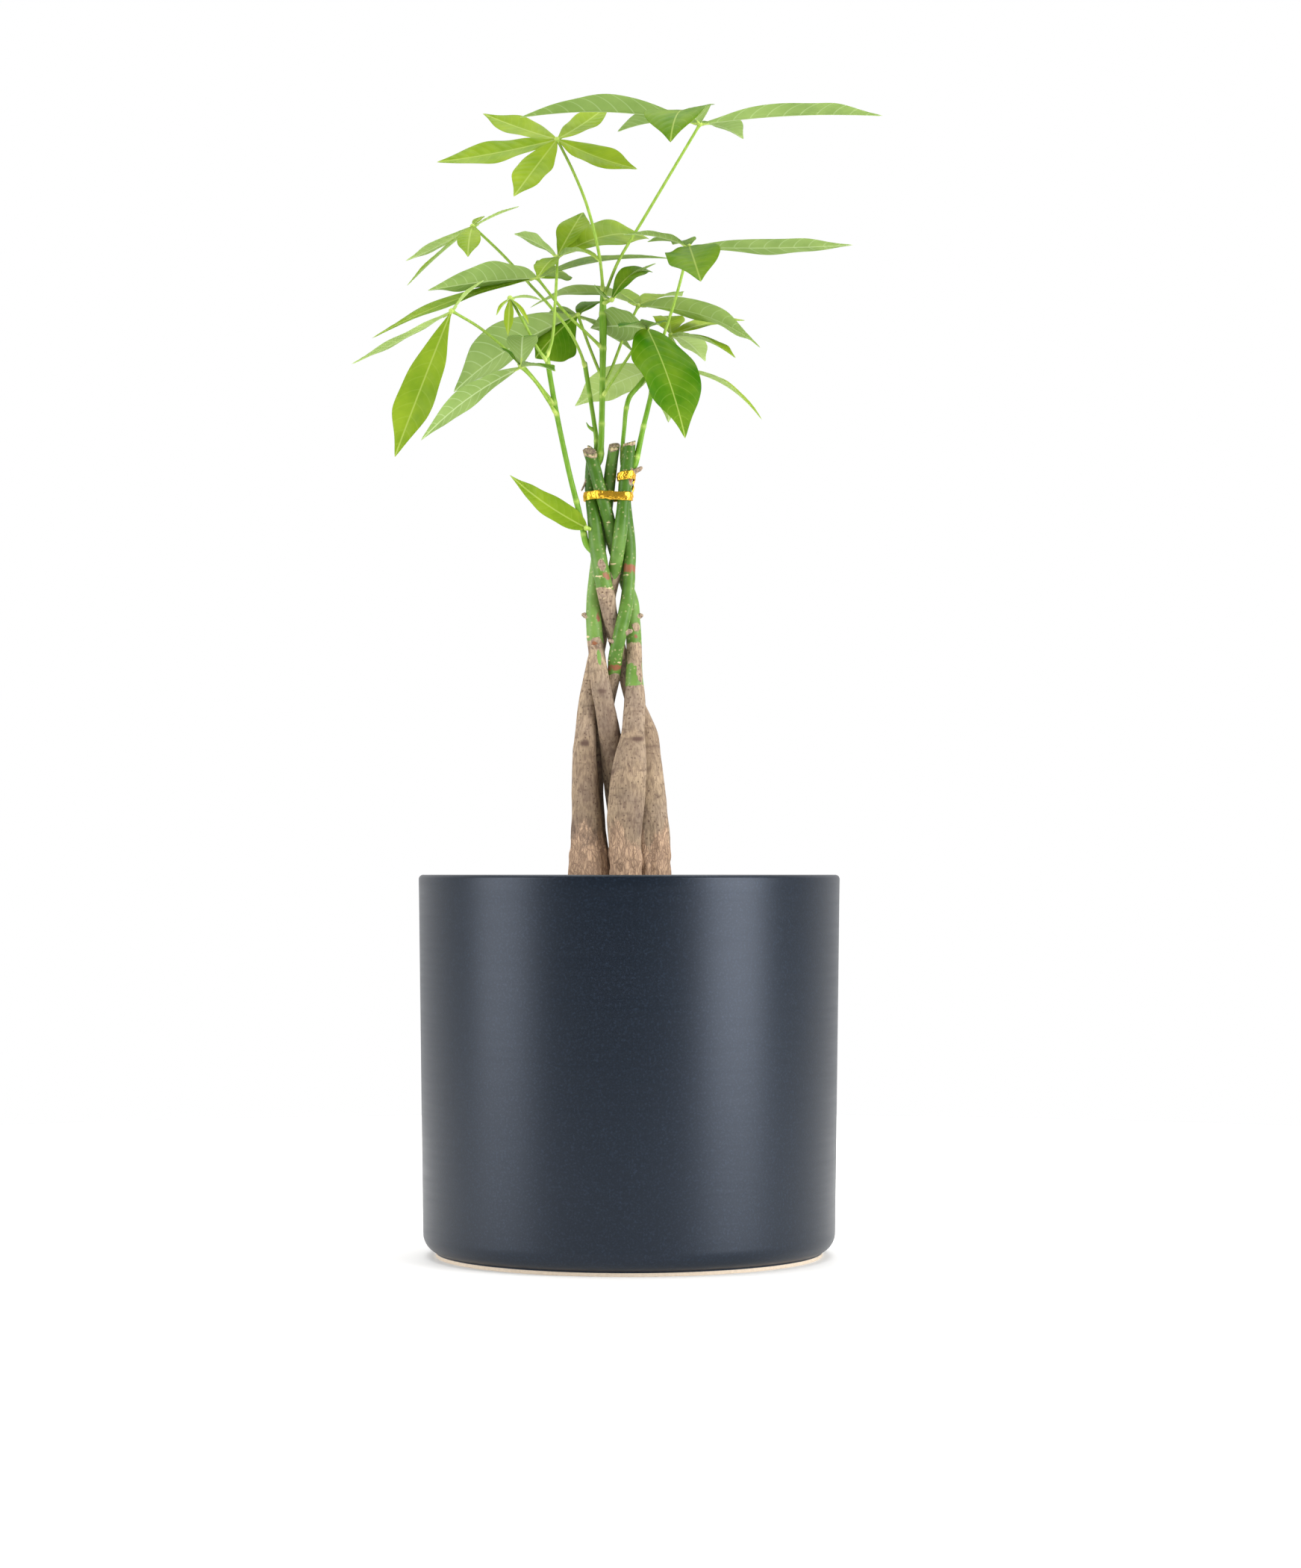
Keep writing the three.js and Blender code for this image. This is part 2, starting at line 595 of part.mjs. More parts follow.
const footHoles = Object.keys(STEMS).map((name) => solidOf(stemGeometry(name, GAP)));
const soil = footHoles.reduce(
  (rest, hole) => rest.subtract(hole),
  solidOf(soilGeometry().applyMatrix4(upright)),
);
place('soil', geometryOf(soil), material(COLOURS.soil, 0.95));

for (const name of Object.keys(STEMS)) {
  place(name, stemGeometry(name), material(COLOURS.bark, 0.8));
}

place('tie', geometryOf(tieSolid()), material(COLOURS.foil, 0.25, 1));

const shootRod = (shoot, swell) => solidOf(rod(shoot.bends, shoot.radii, SHOOT_SIDES, SHOOT_STEP, swell));
for (const [name, shoot] of Object.entries(SHOOTS)) {
  const solid = shootRod(shoot, 0).subtract(solidOf(stemGeometry(shoot.from, GAP)));
  place(name, geometryOf(solid), material(COLOURS.shoot, 0.5));
}

for (const [name, leaf] of Object.entries(LEAVES)) {
  const carrier = leaf.on in SHOOTS
    ? shootRod(SHOOTS[leaf.on], GAP)
    : solidOf(stemGeometry(leaf.on, GAP));
  place(name, geometryOf(leafSolid(leaf).subtract(carrier)), material(COLOURS.leaf, 0.45));
}

export default plant;
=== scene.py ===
# Potted money tree: the finish of every surface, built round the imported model.
# The plant's front faces -Y, +Z is up, and shapes are worked out in millimetres.
import math

import bmesh
import bpy
import numpy as np
from bpy.props import FloatProperty, FloatVectorProperty, IntProperty, PointerProperty
from mathutils import Euler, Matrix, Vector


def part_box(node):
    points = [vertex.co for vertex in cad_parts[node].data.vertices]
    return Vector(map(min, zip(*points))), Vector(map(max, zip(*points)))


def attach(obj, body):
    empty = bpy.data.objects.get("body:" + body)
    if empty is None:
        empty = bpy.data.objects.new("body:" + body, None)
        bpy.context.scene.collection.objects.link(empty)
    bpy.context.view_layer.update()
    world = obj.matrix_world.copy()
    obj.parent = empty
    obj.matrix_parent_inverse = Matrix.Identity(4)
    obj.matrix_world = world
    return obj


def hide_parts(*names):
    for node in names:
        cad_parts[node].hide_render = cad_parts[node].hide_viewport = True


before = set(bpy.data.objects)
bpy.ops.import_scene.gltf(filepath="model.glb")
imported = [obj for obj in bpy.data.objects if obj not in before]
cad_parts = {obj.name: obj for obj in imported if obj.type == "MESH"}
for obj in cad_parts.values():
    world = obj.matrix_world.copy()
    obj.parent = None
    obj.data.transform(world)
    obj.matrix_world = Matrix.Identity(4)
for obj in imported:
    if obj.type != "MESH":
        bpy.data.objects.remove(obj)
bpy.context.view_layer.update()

bl_info = {
    "name": "Potted Money Tree",
    "version": (1, 0, 0),
    "blender": (4, 5, 0),
    "location": "View3D > Sidebar > Money Tree",
    "description": "Pot, soil, braided stems, foil tie, shoots and palmate leaves of a potted money tree",
    "category": "Add Mesh",
}

MM = 0.001
BODY = "root"
POT_BOX = [np.array(corner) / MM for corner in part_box("pot")]
SOIL_BOX = [np.array(corner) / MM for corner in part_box("soil")]
STEM_NODES = ["trunk_a", "trunk_b", "trunk_c", "trunk_d", "trunk_e"]

# Marks on each stem, by height in mm and by side in degrees from +X towards +Y (the front is -90).
# green_from: height above which the skin is green. ragged: how far the edge of the bark wanders.
# darkness: how much deeper the green is. cut: slant of the cut top, as a rise per mm and its heading.
# patches: bark on green skin (+1) or green on bark (-1), as [height, side, half height, half width, sign].
# scars: orange-brown patches, as [height, side, half height, half width].
# rings: heights of leaf-scar rings.
# stubs: dried stubs and buds, as [height, side, length, radius, rise in degrees].
# knots_and_shade: dark knots of the bark, and wide faint clouds that are painted shade, as [height, side,
# half height, half width, strength].
STEM_MARKS = {
    "trunk_a": {
        "green_from": 257.5, "ragged": 3, "darkness": 0.0, "cut": [0.65, 100],
        "patches": [[271, -90, 4.5, 120, 1], [262, -40, 4, 30, 1], [283, -60, 2, 35, 1]],
        "scars": [[279, -70, 1.5, 25]],
        "rings": [289, 330],
        "stubs": [[288, -15, 1.0, 1.4, 20], [304, -25, 0.8, 0.6, 30]],
        "knots_and_shade": [[232, -66, 1.3, 32, 1.0], [217, -155, 1.2, 12, 0.9], [222, -110, 18, 60, 0.25],
                   [196, -60, 12, 60, 0.25]],
    },
    "trunk_b": {
        "green_from": 300, "ragged": 1.5, "darkness": 0.3, "cut": [0.9, 200],
        "patches": [[310.5, -78, 2.6, 26, 1]],
        "scars": [[305.5, -58, 2.8, 40]],
        "rings": [306, 300.6],
        "stubs": [[296.4, -118, 1.2, 1.3, 20], [350.5, -152, 5.5, 0.55, -62], [360.2, -38, 1.7, 1.5, 10]],
        "knots_and_shade": [[240, -80, 20, 90, 0.35]],
    },
    "trunk_c": {
        "green_from": 306, "ragged": 3, "darkness": 0.2, "cut": [0.3, 20],
        "patches": [[350.5, -40, 3.5, 26, 1]],
        "scars": [[350, -45, 3, 26]],
        "rings": [312, 331],
        "stubs": [[352.5, -15, 4.2, 1.3, 28]],
        "knots_and_shade": [[230.3, -90, 1.5, 26, 1.0], [215, -70, 16, 70, 0.35], [190, -110, 10, 60, 0.4]],
    },
    "trunk_d": {
        "green_from": 262, "ragged": 2, "darkness": 0.35, "cut": [0.5, -30],
        "patches": [],
        "scars": [[309.5, -90, 2.8, 180], [264.5, -90, 1.8, 120]],
        "rings": [305.5, 267],
        "stubs": [[276, -150, 1.6, 1.0, 10], [280.3, -12, 1.6, 1.3, 10]],
        "knots_and_shade": [[215, -60, 14, 60, 0.3]],
    },
    "trunk_e": {
        "green_from": 276.5, "ragged": 2.5, "darkness": -0.25, "cut": [0.5, 85],
        "patches": [[269, -75, 3.5, 14, -1]],
        "scars": [[287, -50, 3, 22], [274.5, -95, 2, 40]],
        "rings": [277.5, 318],
        "stubs": [[288, 180, 1.4, 1.5, 20], [273.6, -112, 0.9, 1.1, 10], [273.9, -70, 0.9, 1.2, 10]],
        "knots_and_shade": [[253.7, -90, 0.9, 34, 0.8], [233, -70, 14, 70, 0.4]],
    },
}

# Twist tie: the foil band round all five stems, its second loop round two of them and the twisted end
TIE = {
    "thickness": 0.6, "width": 3.8, "band": 342.3, "loop": 351.3, "loop_stems": ["trunk_c", "trunk_d"],
    "slack": 0.45, "twist_width": 1.3, "twist_turns": 1.25,
    "twist_foot": [1.3, -0.1, 342.3], "twist_top": [2.1, -0.1, 351.3],
}

# Shoots: bends from inside the stem outwards, a radius for each bend, and the swollen joints by height
SHOOTS = {
    "shoot_1": {
        "bends": [[-16.4, 2.4, 355], [-13.7, 1.2, 359.5], [-12.9, 1.0, 366], [-12.5, 1.4, 378],
                  [-12.2, 2.2, 396], [-12.0, 2.8, 412], [-12.0, 3.0, 425], [-12.1, 3.0, 437]],
        "radii": [1.8, 1.9, 1.4, 1.3, 1.3, 1.6, 1.8, 1.1],
        "joints": [362, 375.5, 388, 396, 410, 426],
    },
    "shoot_2": {
        "bends": [[-15.8, 3.6, 357], [-15.0, 4.4, 368], [-16.2, 4.8, 377.5], [-18.0, 5.0, 389],
                  [-20.3, 4.5, 403.5]],
        "radii": [1.2, 1.1, 1, 1, 1.1],
        "joints": [368, 389],
        "bud": [[-15.4, 4.7, 372.4], [-16.9, 4.5, 373.6], [-18.4, 4.4, 374.6], [-19.6, 4.4, 376.6]],
        "bud_radii": [0.75, 0.9, 0.6, 0.15],
    },
    "shoot_3": {
        "bends": [[-14.2, -3.0, 315], [-19.2, -1.8, 320.5], [-20.8, -1.0, 326.5], [-23.2, -1.2, 337],
                  [-27.0, -4.5, 352], [-32.4, -13.0, 377], [-35.4, -19.0, 394], [-36.9, -22.0, 403.5]],
        "radii": [1.5, 1.6, 1.4, 1.3, 1.2, 1.15, 1.15, 1.1],
        "joints": [325, 340, 378, 383, 400],
    },
    "shoot_4": {
        "bends": [[-2.2, 3.0, 350], [-3.3, 1.1, 358], [-3.2, 0.6, 364], [-2.3, 0.0, 373.5],
                  [-1.4, 0.4, 382.5], [0.2, 1.2, 388], [3.8, 3.0, 392.6], [6.6, 4.6, 396.5]],
        "radii": [0.9, 0.9, 0.9, 0.95, 1.05, 1.15, 1.1, 1.05],
        "joints": [364, 382.5],
    },
    "shoot_5": {
        "bends": [[-0.9, -3.1, 353.8], [2.0, -2.8, 356], [3.4, -2.6, 360], [4.4, -2.2, 364.5],
                  [6.4, -1.5, 374], [9.7, -0.5, 388], [12.6, 0.5, 404]],
        "radii": [1.4, 1.7, 1.4, 1.3, 1.15, 1.1, 1.1],
        "joints": [360, 374, 390, 400],
    },
}

# Leaves: hub, lean of the whole leaf if it has one (heading and angle), tone from deep green (0) to lime
# (1), set for each leaf, which holds both the leaf's age and painted light and shade on it, the bends of
# the stalk from inside its carrier to just short of the hub, and the leaflets as [heading, rise, length,
# width, roll about the rib, bow of the rib, fold of the halves], then where one is widest near its hub or
# its tip, a power under or over the usual one.
# Headings turn from +X towards +Y, and all angles are in degrees. Bow is a share of the length.
NO_LEAN = [0, 0]
LEAVES = {
    "leaf_01": {
        "hub": [-33, 4, 506], "lean": [-90, 45], "tone": 0.62,
        "stalk": [[-12.1, 2.6, 436], [-12.4, -1, 441.5], [-13.4, -5.4, 450], [-16, -8.9, 462],
                  [-20, -7, 476], [-25.6, -3.5, 490]],
        "leaflets": [
            [147, 22, 45, 15, 0, -0.03, 8], [-174, -12, 56, 17, 0, -0.03, 8],
            [-127, -45, 44, 16, 0, -0.02, 8], [-25, -23, 44, 16, 0, -0.03, 8],
            [48, 32, 42, 13, 0, -0.02, 8],
        ],
    },
    "leaf_02": {
        "hub": [32, -10, 510], "tone": 0.27,
        "stalk": [[-12, 3, 432], [-9.8, 1.2, 438], [-5, 0.5, 449.5], [6.6, -3, 468.5]],
        "leaflets": [
            [171, 4, 83, 22, 0, 0.05, 32], [-107, -21, 50, 31, 4, 0.2, 6], [139, 4, 50, 18, 0, 0.06, 20],
            [60, 1, 41, 16, 0, 0.06, 20], [2, 3, 83, 20, 0, 0.03, 25],
        ],
    },
    "leaf_03": {
        "hub": [-72, 16, 468.5], "tone": 0.6,
        "stalk": [[-20.2, 4.6, 402], [-22.2, -2.5, 407.5], [-27.2, -9.5, 416.5], [-35.3, -8.5, 427],
                  [-44.7, 4.5, 439], [-57.7, 10, 454]],
        "leaflets": [
            [13, 25, 24, 3.5, 0, 0.03, 15], [148, -18, 40, 7, 15, -0.02, 15],
            [-159, -43, 43, 7.5, 0, 0.02, 15], [-92, -37, 31, 11, 0, 0.03, 12],
            [60, 32, 12, 5, 0, 0.03, 15],
        ],
    },
    "leaf_04": {
        "hub": [-42, 0, 442], "tone": 0.38,
        "stalk": [[-12, 2.8, 410], [-20.4, -1.5, 417.5], [-29.2, -1.8, 426]],
        "leaflets": [
            [-158, -10, 53, 22, 25, 0.02, 15, 0.85], [-175, -21, 80, 12, -28, 0.045, 6],
            [65, 13, 30, 18, 35, 0.06, 8], [28, 12, 70, 14, 15, 0.05, 12],
        ],
    },
    "leaf_05": {
        "hub": [-32.5, -8, 450], "tone": 0.5,
        "stalk": [[-36.9, -22, 402.5], [-34.5, -22, 410], [-33.3, -20, 425], [-32.6, -15.5, 440]],
        "leaflets": [
            [145, 28, 28, 11, 35, 0.06, 10], [58, 48, 32, 15, 10, 0.04, 6, 1.4],
            [42, 15, 58, 22, 35, 0.12, 10, 1.2], [-40, -12, 26, 10, 0, 0.16, 12],
            [-111, -30, 26, 11, 0, 0.06, 12],
        ],
    },
    "leaf_06": {
        "hub": [27, -15, 453.5], "tone": 0.32,
        "stalk": [[12.6, 0.5, 403.2], [14, -3, 410], [17.4, -8, 420], [21.6, -12, 433]],
        "leaflets": [
            [-14, -2, 75, 14, -20, 0, 5], [-84, -28, 50, 25, 12, 0.06, 14],
            [-151, 4, 34, 10, 0, 0.06, 12], [130, 12, 30, 8, 0, 0.06, 12],
            [110, 12, 22, 14, 0, 0.06, 25],
        ],
    },
    "leaf_07": {
        "hub": [-8, -3, 431.5], "tone": 0.15,
        "stalk": [[-12.1, 3, 430.5]],
        "leaflets": [
            [25, 34, 25, 12, 35, 0.25, 15], [12, 40, 27, 7, 0, 0.08, 20], [165, 42, 11, 5, 0, -0.1, 20],
        ],
    },
    "leaf_08": {
        "hub": [4, 20, 432.5], "tone": 0.55,
        "stalk": [[-12.2, 2.1, 393], [-9.5, 4.5, 398], [-1.8, 11.8, 419]],
        "leaflets": [
            [-162, -4, 52, 14, 10, 0.14, 10], [-26, -21, 66, 22, -24, 0.1, 10],
            [62, 14, 45, 18, 0, 0.05, 10], [118, 19, 40, 16, 0, 0.05, 10],
        ],
    },
    "leaf_09": {
        "hub": [8, -12, 417], "tone": 0.14,
        "stalk": [[-12.3, 1.9, 388], [-8, -2.5, 394], [2.4, -8, 409]],
        "leaflets": [
            [-58, -59, 62, 33, 0, 0.06, 6, 0.78], [-119, -7, 26, 12, 0, 0.06, 12],
            [-79, -6, 28, 12, 0, 0.06, 12], [140, 6, 34, 18, 50, 0.06, 10],
        ],
    },
    "leaf_10": {
        "hub": [19, 13, 418], "tone": 0.7,
        "stalk": [[12.1, 0.4, 400.5], [15, 5.5, 408.5]],
        "leaflets": [
            [39, 14, 46, 12, 25, 0.05, 12], [-37, -21, 39, 14, 0, 0.08, 12],
            [64, -11, 38, 14, 0, 0.08, 12], [96, 22, 38, 15, 0, 0.05, 12],
            [100, -80, 40, 16, 0, 0.05, 10],
        ],
    },
    "leaf_11": {
        "hub": [12.5, 7, 401.5], "tone": 0.8,
        "stalk": [[6.4, 4.5, 396.2], [9, 5.8, 398.6]],
        "leaflets": [
            [-18, -27, 56, 14, 0, 0.13, 12], [139, -14, 52, 20, 30, 0.08, 8],
            [-40, -50, 32, 13, 0, 0.06, 12],
        ],
    },
    "leaf_12": {
        "hub": [-53, -28, 428], "tone": 0.75,
        "stalk": [[-36.4, -21, 400.5], [-40.5, -24.5, 405.5], [-46, -27, 415.5]],
        "leaflets": [
            [-148, -50, 11, 3.5, 0, 0.08, 15], [-95, -67, 20, 4.5, 0, 0.05, 15],
            [-30, -52, 16, 5, 0, 0.05, 15], [19, -1, 15, 3.5, 0, 0.08, 15],
        ],
    },
    "leaf_13": {
        "hub": [-79, -30, 422], "tone": 0.55,
        "stalk": [[-33.4, -15, 382], [-37.5, -17, 387], [-48, -18, 399.5], [-65.6, -24, 414.5]],
        "leaflets": [
            [-154, -68, 72, 19, -45, 0.02, 8, 1.3], [165, -25, 52, 9, 4, -0.02, 8],
            [5, 44, 20, 8, 0, 0.05, 10],
        ],
    },
    "leaf_14": {
        "hub": [-48, -30, 397], "tone": 0.1,
        "stalk": [[-32.8, -14, 378], [-36.5, -20, 383.5], [-42, -27, 391]],
        "leaflets": [
            [-160, -37, 58, 14, 45, 0.05, 6], [-85, 32, 20, 14, 0, 0.3, 10],
            [150, 40, 15, 8, 0, 0.06, 12], [-57, -11, 30, 11, 0, 0.06, 12],
        ],
    },
    "leaf_15": {
        "hub": [-23.5, 6, 426], "tone": 0.24,
        "stalk": [[-12.2, 2.2, 396], [-14.6, 4, 402], [-18.5, 5.4, 412]],
        "leaflets": [
            [-164, -33, 69, 26, 55, 0.1, 32], [-175, -46, 28, 27, -55, 0.05, -25, 1.4],
            [30, -27, 34, 9, 0, 0.04, 12], [60, 22, 26, 14, 0, 0.05, 10], [165, 8, 14, 8, 20, 0.06, 10],
        ],
    },
    "leaf_16": {
        "hub": [-19.4, -5, 327.6], "lean": [-90, 62], "tone": 0.55,
        "stalk": [[-15.4, -1.7, 326.6]],
        "leaflets": [[-172, 34, 42, 12, 0, -0.08, 10, 0.65]],
    },
}


def linear(colour):
    """The linear value of an sRGB hex colour, with an alpha of 1."""
    shares = [int(colour[i:i + 2], 16) / 255 for i in (1, 3, 5)]
    return tuple(c / 12.92 if c <= 0.04045 else ((c + 0.055) / 1.055) ** 2.4 for c in shares) + (1.0,)


def colour_setting(name, description, colour):
    """A colour that the user may change."""
    return FloatVectorProperty(name=name, description=description, default=linear(colour), size=4,
                               subtype="COLOR", min=0, max=1)


def number_setting(name, description, value, unit="NONE"):
    """A number that the user may change."""
    return FloatProperty(name=name, description=description, default=value, unit=unit)


def length_setting(name, description, length):
    """A length that the user may change, given in mm."""
    return number_setting(name, description, length * MM, "LENGTH")


def count_setting(name, description, count, least):
    """A count that the user may change."""
    return IntProperty(name=name, description=description, default=count, min=least)


# Settings

class PotSettings(bpy.types.PropertyGroup):
    wall: length_setting("Wall", "Thickness of the pot's wall", 8)
    floor: length_setting("Floor", "Thickness of the pot's floor", 9)
    taper: number_setting("Taper", "How far the wall leans in, as a share of height", 0.014)
    rim_edge: length_setting("Rim edge", "Rounding of the rim", 2)
    corner: length_setting("Corner", "Rounding where the wall meets the base", 9)
    inner_corner: length_setting("Inner corner", "Rounding where the wall meets the floor", 7)
    foot_radius: length_setting("Foot radius", "Radius of the bare foot", 87)
    foot_height: length_setting("Foot height", "Height of the bare foot", 1.5)
    segments: count_setting("Segments", "Steps round the pot", 240, 24)
    glaze: colour_setting("Glaze", "Satin glaze of the pot", "#081019")
    glaze_pale: colour_setting("Glaze specks", "Paler specks in the glaze", "#18222f")
    sheen: colour_setting("Sheen", "Tint of what the glaze reflects", "#dfeaff")
    clay: colour_setting("Clay", "Bare fired clay of the foot", "#c4b5a2")


class SoilSettings(bpy.types.PropertyGroup):
    rise: length_setting("Rise", "Rise of the soil's middle above its edge", 5)
    lumps: length_setting("Lumps", "Height of the soil's lumps", 1.3)
    chips: count_setting("Chips", "Loose bits of bark", 420, 0)
    grains: count_setting("Grains", "Loose grains of perlite", 70, 0)
    earth: colour_setting("Earth", "Dark potting mix", "#3b2c21")
    chip: colour_setting("Bark chips", "Bits of composted bark", "#5c4430")
    chip_fleck: colour_setting("Bark fleck", "Paler flecks of the bits of bark", "#8a6a4a")
    perlite: colour_setting("Perlite", "White puffed mineral grains", "#e6e2d8")
    perlite_fleck: colour_setting("Perlite fleck", "Whitest flecks of the perlite", "#ffffff")


class StemSettings(bpy.types.PropertyGroup):
    step: length_setting("Step", "Height between rings of the stem's mesh", 0.9)
    columns: count_setting("Columns", "Steps round a stem", 56, 12)
    furrow: length_setting("Furrows", "Depth of the bark's furrows", 0.35)
    bark: colour_setting("Bark", "Tan bark", "#a38f75")
    bark_dark: colour_setting("Bark shade", "Darker bark in furrows and specks", "#56433a")
    fibre: colour_setting("Fibrous bark", "Orange-brown peeling bark near the soil", "#bea084")
    green: colour_setting("Green skin", "Young green skin", "#67883f")
    green_dark: colour_setting("Deep green skin", "Older green skin", "#3c6216")
    ash: colour_setting("Grey bark", "Grey and purplish tints of the bark", "#7f7165")
    scar: colour_setting("Scar", "Orange-brown corky scar", "#83543a")
    ring: colour_setting("Ring", "Cream leaf-scar ring", "#bfae86")
    cut: colour_setting("Cut wood", "Dried cut face of a stem", "#8f7a68")


class TieSettings(bpy.types.PropertyGroup):
    crumple: length_setting("Crumple", "Depth of the foil's creases", 0.13)
    foil: colour_setting("Foil", "Gold lacquered foil", "#e6b235")


class ShootSettings(bpy.types.PropertyGroup):
    sides: count_setting("Sides", "Steps round a shoot", 20, 6)
    green: colour_setting("Green", "Skin of a young shoot", "#598710")
    pale: colour_setting("Pale green", "Paler streaks and joints", "#9db555")


class LeafSettings(bpy.types.PropertyGroup):
    thickness: length_setting("Thickness", "Thickness of a blade", 0.3)
    veins: count_setting("Side veins", "Side veins on each half of a leaflet", 11, 1)
    quilting: length_setting("Quilting", "Rise of the blade between its side veins", 0.2)
    stalk: length_setting("Stalk", "Radius of a leaf stalk", 0.72)
    deep: colour_setting("Deep green", "Upper face of an older leaf", "#447e02")
    lime: colour_setting("Lime", "Upper face of a young leaf", "#b3c43c")
    vein: colour_setting("Vein", "Midrib and side veins", "#c2d070")
    under_deep: colour_setting("Underside", "Underside of an older leaf", "#84a547")
    under_lime: colour_setting("Young underside", "Underside of a young leaf", "#c0d58b")
    under_vein: colour_setting("Vein below", "Midrib and side veins of the underside", "#dae8b8")
    stalk_green: colour_setting("Stalk green", "Leaf stalk", "#76982c")


class StageSettings(bpy.types.PropertyGroup):
    floor_radius: length_setting("Floor", "Radius of the floor", 900)
    floor: colour_setting("Floor colour", "Plain pale floor", "#f4f3f1")
    left_power: number_setting("Left light", "Power of the left light", 24.0, "POWER")
    right_power: number_setting("Right light", "Power of the right light", 38.0, "POWER")
    top_power: number_setting("Top light", "Power of the top light", 20.0, "POWER")
    fill: number_setting("Fill", "Strength of the even light all round", 0.95)
    reflected_fill: number_setting("Reflected fill", "Even light that the pot reflects from in front", 0.07)


class MoneyTreeSettings(bpy.types.PropertyGroup):
    pot: PointerProperty(type=PotSettings)
    soil: PointerProperty(type=SoilSettings)
    stems: PointerProperty(type=StemSettings)
    tie: PointerProperty(type=TieSettings)
    shoots: PointerProperty(type=ShootSettings)
    leaves: PointerProperty(type=LeafSettings)
    stage: PointerProperty(type=StageSettings)


# Numbers

def unit(vectors):
    """Vectors of length one along the last axis."""
    return vectors / np.linalg.norm(vectors, axis=-1, keepdims=True)


def ease(low, high, value):
    """0 below low, 1 above high, and 3s^2 - 2s^3 of the share s between them."""
    share = np.clip((value - low) / (high - low), 0, 1)
    return share * share * (3 - 2 * share)


def bump(offset, width):
    """A bell curve: e to the power of minus the square of offset / width."""
    return np.exp(-(offset / width) ** 2)


def direction(heading, rise):
    """Unit vector from a heading (from +X towards +Y) and a rise above the level, in degrees."""
    turn, lift = math.radians(heading), math.radians(rise)
    return np.array([math.cos(lift) * math.cos(turn), math.cos(lift) * math.sin(turn), math.sin(lift)])


def smooth(knots, values, at):
    """Cubic curve through values at uneven knots: Hermite pieces whose slopes are the three-point slopes."""
    slopes = np.gradient(values, knots, axis=0)
    i = np.clip(np.searchsorted(knots, at, side="right") - 1, 0, len(knots) - 2)
    gap = (knots[i + 1] - knots[i])[:, None]
    u = (at - knots[i])[:, None] / gap
    return (values[i] * (1 + 2 * u) * (1 - u) ** 2 + slopes[i] * gap * u * (1 - u) ** 2
            + values[i + 1] * u * u * (3 - 2 * u) + slopes[i + 1] * gap * u * u * (u - 1))


def line_through(bends, radii, step):
    """Points about a step apart on the centripetal curve through the bends, with a radius for each point.
    A bend's knot is the running sum of the square root of the distance between bends."""
    bends = np.array(bends, float)
    knots = np.concatenate([[0], np.cumsum(np.linalg.norm(np.diff(bends, axis=0), axis=1) ** 0.5)])
    fine = np.linspace(0, knots[-1], 60 * len(bends))
    points = smooth(knots, bends, fine)
    run = np.concatenate([[0], np.cumsum(np.linalg.norm(np.diff(points, axis=0), axis=1))])
    count = max(4, int(math.ceil(run[-1] / step)))
    places = np.interp(np.linspace(0, run[-1], count + 1), run, fine)
    return smooth(knots, bends, places), np.interp(places, knots, radii)


def lattice_noise(u, v, seed, around=0):
    """Value noise between -1 and 1: seeded numbers at whole (u, v), blended by the curve of ease.
    With around given, v repeats after that many cells."""
    low_u, low_v = math.floor(np.min(u)), math.floor(np.min(v))
    i, j = np.floor(u).astype(int), np.floor(v).astype(int)
    fu, fv = ease(0, 1, u - i), ease(0, 1, v - j)
    across = around if around else int(np.max(j)) - low_v + 2
    table = np.random.default_rng(seed).uniform(-1, 1, (int(np.max(i)) - low_u + 2, across))
    i = i - low_u
    left, right = (j % around, (j + 1) % around) if around else (j - low_v, j - low_v + 1)
    near = table[i, left] * (1 - fv) + table[i, right] * fv
    far = table[i + 1, left] * (1 - fv) + table[i + 1, right] * fv
    return near * (1 - fu) + far * fu


# Surfaces

def sheet(points, uv=None, material=0, **values):
    """One grid of points in mm (rows, columns, 3), with its own UV grid and values for named attributes."""
    rows, columns = points.shape[:2]
    if uv is None:
        down, across = np.linspace(0, 1, rows), np.linspace(0, 1, columns)
        uv = np.stack(np.meshgrid(down, across, indexing="ij"), axis=-1)
    spread = {name: np.broadcast_to(value, (rows, columns)) for name, value in values.items()}
    return {"points": points, "uv": uv, "material": material, "values": spread}


